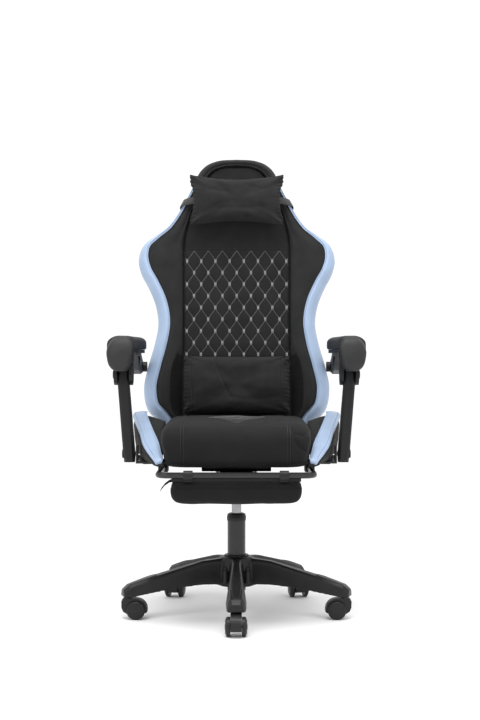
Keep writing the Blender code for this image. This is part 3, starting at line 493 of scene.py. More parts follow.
def metal(name, colour, roughness, coat=0.0, brushed=False, metallic=1.0):
    made = Finish(name, colour, roughness, metallic, Coat_Weight=coat, Coat_Roughness=0.12)
    where = made.place()
    if brushed:
        where = made.node("ShaderNodeMapping", Vector=where, Scale=(1.0, 1.0, 60.0)).outputs[0]
    marks = made.noise(60.0, 5.0, where)
    made.tint(marks, 0.30, 0.70, (0.90, 1.08))
    made.gloss(marks, roughness * 0.85, roughness * 1.2)
    made.relief(made.noise(900.0, 2.0, where), 0.00001, 0.4)
    return made.material


def thread(name, colour):
    made = Finish(name, colour, 0.6, Sheen_Weight=0.2)
    made.tint(made.noise(2500.0, 1.0), 0.35, 0.65, (0.75, 1.15))
    made.relief(made.noise(4000.0, 1.0), 0.0001, 0.6)
    return made.material


def webbing(name, colour):
    """Woven strap: tight ribs across its width."""
    made = Finish(name, colour, 0.85, Sheen_Weight=0.15)
    ribs = made.weave(0.0021)
    made.tint(made.math("ADD", made.noise(500.0), made.math("MULTIPLY", ribs, 0.15)), 0.3, 0.7, (0.6, 1.5))
    made.relief(ribs, 0.0004, 0.9)
    return made.material


BLACK_CLOTH = fabric("black_cloth", (0.0185, 0.0185, 0.0188))
# painted shade: a darker copy of the black cloth for the seat cushion and the footrest pad, so that their
# front faces read as if in shade
SHADED_SEAT_CLOTH = fabric("seat_cloth_painted_shade", (0.0088, 0.0088, 0.0090), roughness=0.80, sheen=0.045)
PANEL_CLOTH = fabric("panel_cloth", (0.0150, 0.0150, 0.0155), 0.0016, roughness=0.95)
PILLOW_CLOTH = fabric("pillow_cloth", (0.0165, 0.0165, 0.0170), 0.0011)
# painted shade: a darker cloth for the bolsters' steep inner walls beside the lumbar pillow, where shadow
# falls between bolster and pillow
SHADED_INNER_CLOTH = fabric("inner_cloth_painted_shade", (0.0070, 0.0070, 0.0075), 0.0018, roughness=0.97)
COVER_LEATHER = leather("cover_leather", (0.011, 0.011, 0.012), 0.52, shades=(0.8, 1.25))
BLUE_LEATHER = leather("blue_leather", (0.300, 0.390, 0.535), 0.42)
BASE_PLASTIC = moulded("base_plastic", (0.0065, 0.0065, 0.0070), 0.38)
WHEEL_PLASTIC = moulded("wheel_plastic", (0.0075, 0.0075, 0.0080), 0.38)
ARM_PLASTIC = moulded("arm_plastic", (0.0050, 0.0050, 0.0054), 0.50)
SOFT_PAD = moulded("soft_pad", (0.016, 0.016, 0.017), 0.55, 0.0001, 900.0)
BLACK_STEEL = metal("black_steel", (0.006, 0.006, 0.007), 0.34, coat=0.1, metallic=0.2)
CHROME = metal("chrome", (0.27, 0.27, 0.28), 0.14)
BRIGHT_STEEL = metal("bright_steel", (0.36, 0.36, 0.37), 0.28, brushed=True)
GREY_THREAD = thread("grey_thread", (0.125, 0.125, 0.130))
LIGHT_THREAD = thread("light_thread", (0.25, 0.25, 0.26))
BLACK_THREAD = thread("black_thread", (0.022, 0.022, 0.023))
BLUE_THREAD = thread("blue_thread", (0.50, 0.64, 0.90))
DEEP_THREAD = thread("deep_blue_thread", (0.085, 0.130, 0.300))
STRAP_WEB = webbing("strap_webbing", (0.024, 0.024, 0.026))
BOARD_CLOTH = fabric("board_cloth", (0.012, 0.012, 0.012), 0.0025, roughness=0.95)


# ------------------------------------------------------------------ backrest

def back_line():
    """Dense stations of one half of the back: outline, ridge and seam points, and crest."""
    rows = resample(BACK_STATIONS, BACK_SAMPLES, (0, 1))
    made = []
    for i, (out, up, strip, seam, seam_up, crest) in enumerate(rows):
        before = rows[max(i - 1, 0)]
        after = rows[min(i + 1, len(rows) - 1)]
        run = Vector((after[0] - before[0], after[1] - before[1])).normalized()
        ridge = (max(out - run.y * strip, seam), up + run.x * strip)
        if i == 0:
            ridge = (out - strip, up)
        if i == len(rows) - 1:
            ridge = (0.0, up - strip)
        made.append({"out": (out, up), "ridge": ridge, "seam": (seam, seam_up), "crest": crest})
    return made


BACK_LINE = back_line()
TRIM_COUNT = sum(1 for row in BACK_LINE if row["out"][1] <= TRIM_END)


def half_width(key, up):
    """Half-width of the outline or seam at a height on the back."""
    for near, far in zip(BACK_LINE, BACK_LINE[1:]):
        if near[key][1] <= up <= far[key][1]:
            span = far[key][1] - near[key][1]
            part = (up - near[key][1]) / span if span > 0 else 0.0
            return near[key][0] + (far[key][0] - near[key][0]) * part
    return BACK_LINE[0][key][0] if up < 0.1 else 0.0


def bolster_ring(row, side, rim, low):
    """Section of the black bolster.  rim is 1 on the arch round the head, and low is 1 beside the
    lumbar pillow, where the inner wall is steep."""
    end = mix(row["ridge"], row["out"], rim)
    crest = row["crest"]
    shoulder = 0.06 + 0.16 * low
    top = 0.18 + 0.22 * low
    edge_front = 0.0385 - 0.0085 * rim
    section = [
        (0.00, 0.020 - 0.010 * low), (0.015, 0.030 - 0.008 * low),
        (shoulder * 0.6, 0.036 - 0.004 * low), (shoulder, 0.044),
        (top, crest - 0.0050), (0.33 + 0.15 * low, crest - 0.0008), (0.48 + 0.10 * low, crest),
        (0.66, crest - 0.0022), (0.80, crest - 0.0060 - 0.004 * rim),
        (0.92, edge_front + 0.0040 - 0.004 * rim), (0.985, edge_front - 0.006 * rim),
        (1.00, 0.0330 - 0.018 * rim), (1.00, 0.0050 - 0.006 * rim), (0.985, REAR + 0.0015), (0.90, REAR),
        (0.50, REAR), (0.04, REAR), (0.00, REAR + 0.003), (0.00, 0.0),
    ]
    ring = []
    for part, forward in section:
        across, up = mix(row["seam"], end, part)
        ring.append((side * across, forward, up))
    return ring


def subdivide(obj):
    """Add one step of smooth subdivision."""
    fine = obj.modifiers.new("Fine", "SUBSURF")
    fine.levels = fine.render_levels = 1


def back_bolster():
    """Both bolsters and the padded rim over the head, in one piece."""
    rings = []
    count = len(BACK_LINE)
    for side, order in ((1, range(count)), (-1, range(count - 2, -1, -1))):
        for i in order:
            row = BACK_LINE[i]
            height = row["out"][1]
            rim = smooth(height, TRIM_END - 0.012, TRIM_END + 0.012)
            low = 1.0 - smooth(height, 0.200, 0.285)
            ring = []
            for across, forward, up in bolster_ring(row, side, rim, low):
                if forward > 0.035:
                    wave = noise.noise(Vector((across * 14, up * 11, side * 3.0)))
                    fine = noise.noise(Vector((across * 60, up * 34, 7.0)))
                    forward += 0.0016 * wave + 0.0005 * fine
                ring.append((across, forward, up))
            rings.append([on_back(*point) for point in rounded(ring)])
    made = lofted("back_bolster", rings, BLACK_CLOTH, "back", "black_fabric",
                  ("back_bolster_left", "back_bolster_right"))
    # painted shade: the steep inner walls beside the lumbar pillow get the darker cloth, for the shadow
    # between bolster and pillow
    made.data.materials.append(SHADED_INNER_CLOTH)
    for face in made.data.polygons:
        at = face.center
        up = (at.z - HINGE_Z) * math.cos(LEAN) + (at.y - HINGE_Y) * math.sin(LEAN)
        steep = abs(face.normal.x) > 0.55 and face.normal.x * at.x < 0
        if steep and up < 0.25 and abs(at.x) < 0.205:
            face.material_index = 1
    subdivide(made)


def back_trim(side, word):
    """The light panel along one edge of the back, wrapped round its side."""
    rings = []
    for row in BACK_LINE[:TRIM_COUNT + 1]:
        fade = smooth(row["out"][1], TRIM_END - 0.03, TRIM_END)
        lip = min(0.0018 / math.dist(row["ridge"], row["out"]), 0.2)
        swell = 0.0016 * noise.noise(Vector((row["out"][0] * 20, row["out"][1] * 16, side * 5.0)))
        section = [
            (0.0, 0.0100), (0.0, 0.0370), (lip, 0.0402), (3 * lip, 0.0412),
            (0.34, 0.0390), (0.55, 0.0346), (0.75, 0.0282), (0.90, 0.0200), (0.98, 0.0118),
            (1.01, 0.0030), (1.01, -0.0080), (0.995, -0.0165), (0.96, REAR), (0.5, REAR), (0.05, REAR),
        ]
        ring = []
        for part, forward in section:
            across, up = mix(row["ridge"], row["out"], part)
            if part >= 0.98:
                across += 0.0006
            if forward > 0.012:
                forward += (0.0022 + swell) * math.sin(math.pi * clamp(part))
            ring.append((side * across, forward - 0.004 * fade, up))
        rings.append([on_back(*point) for point in rounded(ring)])
    subdivide(lofted(f"back_trim_piece_{word}", rings, BLUE_LEATHER, "back", "blue_leather",
                     (f"back_trim_{word}",)))


def back_piping(side, word):
    """A thin cord along the ridge and a line of stitches on the light panel beside it."""
    ridge = []
    stitches = []
    for row in BACK_LINE[:TRIM_COUNT]:
        wide = math.dist(row["ridge"], row["out"])
        across, up = row["ridge"]
        ridge.append(on_back(side * across, 0.0405, up))
        part = min(0.0085 / wide, 0.4)
        across, up = mix(row["ridge"], row["out"], part)
        forward = 0.0412 - 0.0110 * max(part - 0.12, 0.0) + 0.0022 * math.sin(math.pi * part) + 0.0002
        stitches.append(on_back(side * across, forward, up))
    tubes(f"back_piping_{word}", [ridge], 0.0016, 8, BLUE_LEATHER, "back", "blue_leather")
    stitched(f"back_stitches_{word}", [stitches[:-8]], 0.0042, 0.0018, 0.00045, BLUE_THREAD, "back")


# ------------------------------------------------------------------ quilted panel

def strand_phase(row):
    """How far a strand has swung across, from 0 to 1, at a number of rows below the first knots."""
    part = 1 - abs((row + 1) % 2 - 1)
    eased = 0.5 - 0.5 * math.cos(math.pi * part)
    return 0.45 * part + 0.55 * eased


def quilt_height(across, up):
    """How far the padding stands out between the strands."""
    if up > QUILT_TOP or abs(across) > QUILT_HALF:
        return 0.0
    phase = strand_phase((FIRST_KNOTS - up) / ROW)
    at = across / (DIAMOND / 2)
    nearest = min(abs((turn + 1) % 2 - 1) for turn in (at - phase, at + phase))
    border = min(QUILT_HALF - abs(across), QUILT_TOP - up)
    return PUFF * math.sqrt(min(nearest, 1.0)) * smooth(border, 0.0, 0.006)


def panel_forward(across, up):
    """How far forward the centre panel's surface is."""
    edge = min(half_width("seam", up) - abs(across), PANEL_TOP - up)
    tuck = groove(max(edge, 0.0), 0.0130, 0.0050)
    crown = 0.0030 * (1 - (across / 0.17) ** 2)
    seam = groove(up - QUILT_TOP, 0.0022, 0.0016) if abs(across) < QUILT_HALF else 0.0
    ripple = 0.0006 * noise.noise(Vector((across * 22, up * 18, 1.0)))
    if up > QUILT_TOP:
        ripple *= 2.5
    return PANEL_FRONT + crown + quilt_height(across, up) + ripple - tuck - seam


def back_panel():
    """The centre of the back, quilted below and plain above."""
    steps_up = 330
    steps_across = 130
    rows = []
    for k in range(steps_up + 1):
        up = BACK_FOOT + (PANEL_TOP - BACK_FOOT) * k / steps_up
        half = max(half_width("seam", up) + 0.0015, 0.0005)
        line = [half * (2 * i / steps_across - 1) for i in range(steps_across + 1)]
        rows.append([(across, panel_forward(across, up), up) for across in line])
    bm = bmesh.new()
    slab(bm, rows, REAR)
    made = to_object("back_panel", bm, PANEL_CLOTH, "back", "panel_fabric", ("back_cushion",))


def quilt_strands(rows):
    """The light strands that cross between the diamonds."""
    steps = 10
    lines = []
    for strand in range(-8, 9):
        lines.append([])
        for k in range(-steps, rows * steps + 1):
            up = FIRST_KNOTS - ROW * k / steps
            if up > QUILT_TOP:
                continue
            phase = strand_phase(k / steps)
            across = (strand + (1 - phase if strand % 2 else phase)) * DIAMOND / 2
            if abs(across) <= QUILT_HALF - 0.001:
                lines[-1].append(on_back(across, panel_forward(across, up) + 0.0004, up))
            elif lines[-1]:
                lines.append([])
    tubes("quilt_threads", [line for line in lines if len(line) > 2], STRAND_RADIUS, 5, GREY_THREAD,
          "back")


def quilt_knots(rows):
    """A doubled upright stitch at each crossing."""
    lines = []
    for k in range(rows + 1):
        for column in range(-4, 5):
            across = (2 * column + 1 - k % 2) * DIAMOND / 2
            if abs(across) > QUILT_HALF - 0.006:
                continue
            for x in (across - KNOT_OFFSET, across + KNOT_OFFSET):
                line = []
                for part in (-0.5, -0.25, 0.0, 0.25, 0.5):
                    up = FIRST_KNOTS - ROW * k + part * KNOT_LENGTH
                    line.append(on_back(x, panel_forward(x, up) + 0.0009 - 0.0012 * abs(part), up))
                lines.append(line)
    tubes("quilt_knots", lines, KNOT_RADIUS, 6, LIGHT_THREAD, "back")


def panel_stitches():
    """Black stitches down both sides of the quilting and along its top."""
    ups = [QUILT_BOTTOM + 0.004 * k for k in range(128)]
    lines = [[(edge, up, 0.0002) for up in ups if up < QUILT_TOP] for edge in (-QUILT_HALF, QUILT_HALF)]
    lines.append([(-QUILT_HALF + 0.004 * k, QUILT_TOP + 0.004, 0.0003) for k in range(79)])
    lines = [[on_back(across, panel_forward(across, up) + lift, up) for across, up, lift in line]
             for line in lines]
    stitched("panel_stitches", lines, 0.0035, 0.0015, 0.0005, BLACK_THREAD, "back")


def quilting():
    """The threads of the quilting and of the seams round it."""
    rows = int((FIRST_KNOTS - QUILT_BOTTOM) / ROW)
    quilt_strands(rows)
    quilt_knots(rows)
    panel_stitches()


# ------------------------------------------------------------------ rear cover

def back_cover():
    """The smooth cover over the rear of the back, rolled round the outline."""
    top = BACK_LINE[-1]["out"][1]
    steps_up = 200
    steps_across = 80
    rows = []
    for k in range(steps_up + 1):
        up = BACK_FOOT + (top - BACK_FOOT) * (0.5 - 0.5 * math.cos(math.pi * k / steps_up))
        half = max(half_width("out", up), 0.0005)
        row = []
        for i in range(steps_across + 1):
            across = half * math.sin(math.pi / 2 * (2 * i / steps_across - 1))
            edge = min((half - abs(across)) * 0.9, up - BACK_FOOT, (top - up) * 0.9)
            roll = 1 - clamp(edge / 0.015)
            sag = 0.0015 * noise.noise(Vector((across * 7, up * 6, 4.0)))
            row.append((across, COVER_REAR + 0.018 * (1 - math.sqrt(1 - roll ** 2)) + sag, up))
        rows.append(row)
    bm = bmesh.new()
    slab(bm, rows, COVER_FRONT)
    to_object("rear_cover", bm, COVER_LEATHER, "back", "black_fabric", ("back_cover",))


# ------------------------------------------------------------------ padded pieces

def inflate(obj, pressure, cap, stiffness):
    """Blow a closed piece up as cloth, moving no point past the cap."""
    before = [vertex.co.copy() for vertex in obj.data.vertices]
    cloth = obj.modifiers.new("Cloth", "CLOTH")
    cloth.settings.quality = 5
    cloth.settings.mass = 0.20
    cloth.settings.tension_stiffness = stiffness
    cloth.settings.compression_stiffness = stiffness
    cloth.settings.shear_stiffness = stiffness * 0.4
    cloth.settings.bending_stiffness = 0.4
    cloth.settings.use_pressure = True
    cloth.settings.uniform_pressure_force = pressure
    cloth.settings.effector_weights.gravity = 0.0
    cloth.point_cache.frame_end = CLOTH_STEPS
    scene = bpy.context.scene
    for step in range(1, CLOTH_STEPS + 1):
        scene.frame_set(step)
    bake(obj)
    for vertex, start in zip(obj.data.vertices, before):
        moved = vertex.co - start
        if moved.length > cap:
            vertex.co = start + moved.normalized() * cap
    scene.frame_set(1)


def remesh(obj, voxel):
    """Add a step that rebuilds the surface in even squares."""
    even = obj.modifiers.new("Remesh", "REMESH")
    even.mode = "VOXEL"
    even.voxel_size = voxel


def relax(obj, factor, iterations):
    """Add a step that evens out the surface."""
    smoother = obj.modifiers.new("Relax", "SMOOTH")
    smoother.factor = factor
    smoother.iterations = iterations


def settled(obj, voxel, pressure, cap, stiffness=12.0):
    """Rebuild a closed piece evenly, let pressed cloth take its shape, and make it finer."""
    remesh(obj, voxel)
    bake(obj)
    inflate(obj, pressure, cap, stiffness)
    relax(obj, 0.5, 3)
    bake(obj)
    subdivide(obj)
    bake(obj)
    obj.data.shade_smooth()


def bake(obj):
    """Put the result of an object's modifiers into its mesh."""
    graph = bpy.context.evaluated_depsgraph_get()
    made = bpy.data.meshes.new_from_object(obj.evaluated_get(graph))
    obj.modifiers.clear()
    old = obj.data
    obj.data = made
    bpy.data.meshes.remove(old)


def fit(obj, size):
    """Scale a mesh's points to a size, with the middle of their box at the origin."""
    points = [vertex.co for vertex in obj.data.vertices]
    for axis in range(3):
        near = min(point[axis] for point in points)
        far = max(point[axis] for point in points)
        for point in points:
            point[axis] = ((point[axis] - near) / (far - near) - 0.5) * size[axis]


def press(obj, change):
    """Move each point along its normal by what change(point, normal) gives."""
    moved = []
    for vertex in obj.data.vertices:
        moved.extend(vertex.co + vertex.normal * change(vertex.co, vertex.normal))
    obj.data.vertices.foreach_set("co", moved)
    obj.data.update()


def stuffed(obj, body, node):
    """Put a padded piece on its body, in the place of its CAD node."""
    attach(obj, body)
    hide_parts(node)


def distance_to(line, x, y):
    """Distance from a point to a polyline in a plane."""
    best = 1.0
    for (ax, ay), (bx, by) in zip(line, line[1:]):
        dx, dy = bx - ax, by - ay
        part = clamp(((x - ax) * dx + (y - ay) * dy) / (dx * dx + dy * dy))
        best = min(best, math.hypot(x - ax - dx * part, y - ay - dy * part))
    return best


def groove(distance, depth, width):
    return depth * math.exp(-(distance / width) ** 2)


def pillow_rings(half, tall, thick, ears):
    """Two sheets sewn at the edge: rings out over the rear sheet and back over the front one."""
    sides = 64
    rings = []
    for part, depth in ((0.02, -1.0), (0.55, -0.97), (0.85, -0.70), (0.97, -0.28), (1.0, 0.0),
                        (0.97, 0.28), (0.85, 0.70), (0.55, 0.97), (0.02, 1.0)):
        ring = []
        for k in range(sides):
            turn = 2 * math.pi * k / sides
            c, s = math.cos(turn), math.sin(turn)
            corner = (abs(c * s) * 2) ** 3
            reach = 1.0 / max(abs(c), abs(s)) ** 0.86
            flat = 1.0 - 0.62 * corner * abs(part)
            spread = part * reach * (1 + ears * corner * part ** 4)
            ring.append((half * clamp(c * spread, -1.05, 1.05), depth * thick / 2 * flat,
                         tall * clamp(s * spread, -1.06, 1.06)))
        rings.append(ring)
    return rings


def pillow_folds(point, half, tall, thick, creases, seed):
    """A pillow's point (across, depth, up) moved by its gathers, folds, creases and sewn rim."""
    across, depth, up = point
    x, y = across / half, up / tall
    front = smooth(depth, -0.25 * thick, 0.10 * thick)
    # gathers along the two side seams
    gather = math.sin(up * 520.0 + seed) * smooth(abs(x), 0.80, 0.98)
    depth += front * 0.0011 * gather
    across *= 1 + 0.006 * gather * smooth(abs(x), 0.9, 1.0)
    # folds that run in from the corners
    angle = math.atan2(abs(y) - 1.0, abs(x) - 1.0)
    away = math.hypot(abs(x) - 1.0, abs(y) - 1.0)
    fold = math.sin(angle * 9.0 + seed) * math.exp(-away / 0.45) * smooth(away, 0.02, 0.15)
    depth += front * 0.0030 * fold
    soft = noise.noise(Vector((across * 15 + seed, up * 19, 0.5)))
    fine = noise.noise(Vector((across * 42, up * 50 + seed, 2.5)))
    depth += front * (0.0034 * soft + 0.0011 * fine) * (1 - 0.5 * abs(x * y))
    for line, deep, wide in creases:
        depth -= front * groove(distance_to(line, across, up), deep, wide)
    # the rim is pinched by its seam, and the rear is pressed flat
    depth -= 0.0022 * smooth(max(abs(x), abs(y)), 0.955, 0.99) * (1 if depth > 0 else -1)
    if depth < 0:
        depth *= 0.75
    return across, depth, up


def pillow(name, half, tall, thick, at, ears, creases, node, seed, sag=0.0, pinch=(0.0, 0.0)):
    """A stuffed pillow on the back, blown up as cloth.  at is its height and how far forward it
    is, ears is how far its corners stick out, creases are lines in its own plane with a depth
    and a width, sag is how far its upper seam hangs, and pinch is how far its side seams and
    its lower seam are drawn in between the corners."""
    made = lofted(name, pillow_rings(half, tall, thick, ears), PILLOW_CLOTH)
    settled(made, 0.0045, 3.0, 0.008, stiffness=9.0)
    fit(made, (2 * half, thick, 2 * tall))
    for vertex in made.data.vertices:
        x, y = vertex.co.x / half, vertex.co.z / tall
        across, depth, up = pillow_folds(vertex.co, half, tall, thick, creases, seed)
        up += (pinch[1] * smooth(-y, 0.0, 1.0) - sag * smooth(y, 0.0, 1.0)) * (1 - x * x)
        across -= math.copysign(pinch[0], across) * (1 - y * y) * smooth(abs(x), 0.3, 1.0)
        vertex.co = on_back(across, at[1] + depth, at[0] + up)
    made.data.update()
    stuffed(made, "back", node)
    return made


def dropped(surface, casts, lift):
    """Where each ray, given by its start and its way, first meets a finished piece."""
    target = surface.evaluated_get(bpy.context.evaluated_depsgraph_get())
    points = []
    for start, way in casts:
        hit, point, normal, _ = target.ray_cast(Vector(start), Vector(way))
        if hit:
            points.append(point + normal * lift)
    return points


def seam_thread(name, casts, surface, body):
    """Black stitches along a line of rays that fall on a finished piece."""
    line = dropped(surface, casts, SEAM_RADIUS * 0.6)
    stitched(name, [line], 0.0040, 0.0016, SEAM_RADIUS, BLACK_THREAD, body)


def along(line, step=0.004):
    """Points at even steps on a polyline in a plane."""
    made = []
    for (ax, ay), (bx, by) in zip(line, line[1:]):
        count = max(1, round(math.hypot(bx - ax, by - ay) / step))
        made += [(ax + (bx - ax) * k / count, ay + (by - ay) * k / count) for k in range(count)]
    made.append(line[-1])
    return made


def head_pillow():
    """The upper pillow, with three soft creases."""
    creases = (
        (((-0.13, 0.052), (-0.085, 0.030), (-0.03, 0.022)), 0.0012, 0.006),
        (((0.03, 0.045), (0.08, 0.030), (0.13, 0.048)), 0.0014, 0.007),
        (((-0.12, -0.05), (-0.07, -0.032), (0.00, -0.036), (0.08, -0.028), (0.125, -0.052)), 0.0018, 0.009),
    )
    pillow("head_pillow_piece", 0.143, 0.079, 0.070, (0.7045, 0.0840), 0.045, creases, "head_pillow", 3.0,
           sag=0.011, pinch=(0.009, 0.011))


def lumbar_pillow():
    """The lower pillow, with its seams and one long fold."""
    middle = 0.1550
    left = ((-0.128, 0.083), (-0.131, 0.03), (-0.127, -0.04), (-0.13, -0.083))
    slant = ((-0.070, 0.083), (-0.052, 0.035), (-0.032, -0.012), (-0.018, -0.040))
    right = ((0.130, 0.083), (0.128, 0.02), (0.131, -0.083))
    fold = ((-0.018, -0.040), (0.02, -0.048), (0.07, -0.046), (0.12, -0.038))
    creases = ((left, 0.0030, 0.0028), (slant, 0.0030, 0.0028), (right, 0.0030, 0.0028),
               (fold, 0.0016, 0.0060))
    made = pillow("lumbar_pillow_piece", 0.157, 0.0845, 0.080, (middle, 0.0775), 0.04, creases,
                  "lumbar_pillow", 8.0, sag=0.003)
    rearward = on_back(0, -1, 0) - on_back(0, 0, 0)
    for number, line in enumerate((left, slant, right), 1):
        for row, offset in SEAM_ROWS:
            casts = [(on_back(x + offset, 0.18, middle + y), rearward) for x, y in along(line)]
            seam_thread(f"lumbar_seam_{number}_{row}", casts, made, "back")


def head_strap():
    """The elastic that holds the head pillow, drawn tight round the neck of the back."""
    # across the upper edge, across the lower edge, forward, and height of the middle
    path = (
        (0.116, 0.118, 0.0760, 0.709),
        (0.138, 0.143, 0.0620, 0.7085),
        (0.1510, 0.1580, 0.0520, 0.708),
        (0.1575, 0.1680, 0.0430, 0.7075),
        (0.1595, 0.1708, 0.0280, 0.707),
        (0.1595, 0.1710, 0.0000, 0.7065),
        (0.1590, 0.1705, -0.0300, 0.706),
        (0.1550, 0.1660, -0.0425, 0.7055),
        (0.1480, 0.1550, -0.0455, 0.705),
        (0.0900, 0.0900, -0.0462, 0.705),
        (0.0, 0.0, -0.0464, 0.705),
    )
    half = resample(path, 44, (0, 2))
    whole = [(1, row) for row in half] + [(-1, row) for row in reversed(half[:-1])]
    wide = 0.0105
    thick = 0.0011
    middles = [on_back(side * (row[0] + row[1]) / 2, row[2], row[3]) for side, row in whole]
    rings = []
    for i, (side, (high, low, forward, up)) in enumerate(whole):
        way = (middles[min(i + 1, len(middles) - 1)] - middles[max(i - 1, 0)]).normalized()
        top = on_back(side * high, forward, up + wide)
        bottom = on_back(side * low, forward, up - wide)
        out = way.cross(top - bottom).normalized() * thick
        ripple = 0.0003 * math.sin(i * 2.1)
        # how far down the band and how far out from its middle each point of the section is
        section = ((0.0, 0.4), (0.04, 1.0), (0.5, 1.1 + ripple), (0.96, 1.0), (1.0, 0.4),
                   (1.0, -0.4), (0.96, -0.6), (0.04, -0.6), (0.0, -0.4))
        rings.append([top.lerp(bottom, part) + out * lift for part, lift in section])
    lofted("head_strap_band", rings, STRAP_WEB, "back", "webbing", ("head_strap",), sharp=45)


# ------------------------------------------------------------------ seat

def at_lip(y):
    """1 along the seat's front edge and 0 behind it."""
    return 1 - smooth(y, -0.228, -0.208)


def cushion_ring(half, low, high, crown):
    """Section of the seat cushion: flat below, rounded over its top corners and crowned."""
    right = [(half - 0.004, low), (half, low + 0.006), (half, (low + high) / 2), (half, high - 0.020),
             (half - 0.008, high - 0.006), (half - 0.024, high + crown * 0.3),
             (half * 0.55, high + crown * 0.8)]
    return rounded(symmetric(low, right, high + crown))


def front_swell(y, z):
    """How much wider the cushion is where its front bulges between the raised sides."""
    return 1 + 0.045 * smooth(z, 0.458, 0.478) * (1 - smooth(y, -0.215, -0.180))


def seat_cushion():
    """The cushion of the seat, with a rolled front and soft creases."""
    rings = []
    for y, half, low, high in resample(CUSHION_STATIONS, 46, (0, 3), tight=True):
        crown = 0.004 * smooth(y, -0.25, -0.12) * (1 - smooth(y, 0.10, 0.143))
        low += 0.002 - 0.0060 * at_lip(y)
        rings.append([(x * front_swell(y, z), y, z)
                      for x, z in cushion_ring(half - 0.002, low, high - 0.005, crown)])
    # painted shade: the darker seat cloth darkens the cushion's front as if in shade
    made = lofted("seat_cushion_piece", rings, SHADED_SEAT_CLOTH)
    settled(made, 0.006, 2.5, 0.0025)
    seams = [((x, 0.60), (x, 0.43)) for x in SEAT_SEAMS]
    corner = ((0.144, 0.523), (0.150, 0.498), (0.163, 0.480), (0.180, 0.470))
    crease = ((0.155, 0.512), (0.172, 0.508), (0.190, 0.514))

    def change(point, normal):
        x, y, z = point
        front = 1 - smooth(y, -0.235, -0.205)
        top = smooth(z, 0.520, 0.536)
        into = (groove(distance_to(corner, x, z), 0.0040, 0.0045)
                + groove(distance_to(crease, x, z), 0.0020, 0.004)) * front
        for line in seams:
            into += groove(distance_to(line, x, z), 0.0026, 0.0026) * (1 - smooth(y, -0.20, -0.18))
        # the seam round the middle of the top
        into += groove(abs(abs(x) - 0.139), 0.0020, 0.0028) * top * smooth(y, -0.21, -0.19)
        soft = noise.noise(Vector((x * 12, y * 12, z * 14)))
        fine = noise.noise(Vector((x * 38, y * 38, z * 44 + 3.0)))
        swell = 0.0022 * soft + 0.0007 * fine
        return (swell - into) * smooth(z, 0.433, 0.439)

    press(made, change)
    stuffed(made, "seat", "seat_cushion")
    return made


def seat_sewing(cushion):
    """Doubled seams over the front and the top of the seat, and nested diamonds on the top."""
    above = 0.70
    down = (0, 0, -1)
    for number, x in enumerate(SEAT_SEAMS, 1):
        for row, offset in SEAM_ROWS:
            casts = [((x + offset, -0.40, 0.440 + 0.003 * k), (0, 1, 0)) for k in range(31)]
            casts += [((x + offset, -0.262 + 0.004 * k, above), down) for k in range(98)]
            seam_thread(f"seat_seam_{number}_{row}", casts, cushion, "seat")
    diamond = ((0.0, -0.17), (0.078, 0.0), (0.0, 0.125), (-0.078, 0.0), (0.0, -0.17))
    lines = []
    for size in (1.0, 0.80, 0.60, 0.42, 0.24):
        outline = along([(x * size, -0.035 + y * size) for x, y in diamond])
        lines.append(dropped(cushion, [((x, y, above), down) for x, y in outline], 0.0003))
    stitched("seat_diamonds", lines, 0.0050, 0.0010, 0.0006, GREY_THREAD, "seat")


def seat_wing(side, word):
    """The raised side of the seat and the light panel along its top edge."""
    rows = resample(WING_STATIONS, 60, (0, 1, 2, 3), tight=True)
    cushion = resample(CUSHION_STATIONS, 200, (0, 3), tight=True)
    body, edge = [], []
    for y, inner, outer, height, rim in rows:
        beside = min(cushion, key=lambda row: abs(row[0] - y))
        near = beside[1] + 0.0004
        bottom = 0.4315 - 0.0045 * at_lip(y)
        under = height - 0.0115
        crease = max(min(under - 0.003, beside[3] - 0.014), bottom + 0.002)
        wave = 0.0008 * noise.noise(Vector((y * 30, side * 4.0, 0.0)))
        thick = under - bottom
        bulge = min(0.0022, thick * 0.1) + wave
        ring = [
            (near, bottom),
            ((near + rim) / 2, bottom - 0.0003),
            (rim - 0.002, bottom),
            (rim + (outer - rim) * 0.55, bottom + thick * 0.3),
            (outer - 0.001, max(under - 0.006, bottom + 0.0015)),
            ((inner + outer) / 2, under - 0.002),
            (inner + 0.002, under - 0.0005),
            (inner - (inner - near) * 0.30, under - (under - crease) * 0.35 + bulge),
            (near + (inner - near) * 0.2, crease + bulge * 0.5),
            (near, crease - 0.002),
            (near, (crease + bottom) / 2),
        ]
        body.append([(side * x, y, z) for x, z in rounded(ring)])
        wide = outer - inner
        puff = 0.0016 + wave
        ring = [
            (inner, height - 0.0095),
            (inner - 0.0004, height - 0.003),
            (inner + 0.0022, height - 0.0002),
            (inner + wide * 0.30, height + puff * 0.9 - 0.001),
            (inner + wide * 0.62, height + puff - 0.0022),
            (outer - 0.0035, height - 0.0030),
            (outer + 0.0002, height - 0.0065),
            (outer - 0.0002, height - 0.0130),
            (outer - 0.003, height - 0.0138),
            ((inner + outer) / 2, height - 0.0118),
        ]
        edge.append([(side * x, y, z) for x, z in rounded(ring)])
    made = lofted(f"seat_side_{word}", body, BLACK_CLOTH, "seat", "black_fabric",
                  (f"seat_bolster_{word}",))
    lofted(f"seat_trim_piece_{word}", edge, BLUE_LEATHER, "seat", "blue_leather",
           (f"seat_trim_{word}",))
    line = [(side * (inner + (outer - inner) * 0.84), y, height - 0.0022)
            for y, inner, outer, height, _ in rows[2:-2]]
    stitched(f"seat_stitches_{word}", [line], 0.0048, 0.0012, 0.00055, DEEP_THREAD, "seat")
    line = [(side * (inner - 0.0002), y, height - 0.0018) for y, inner, _, height, _ in rows]
    tubes(f"seat_piping_{word}", [line], 0.0015, 8, BLUE_LEATHER, "seat", "blue_leather")


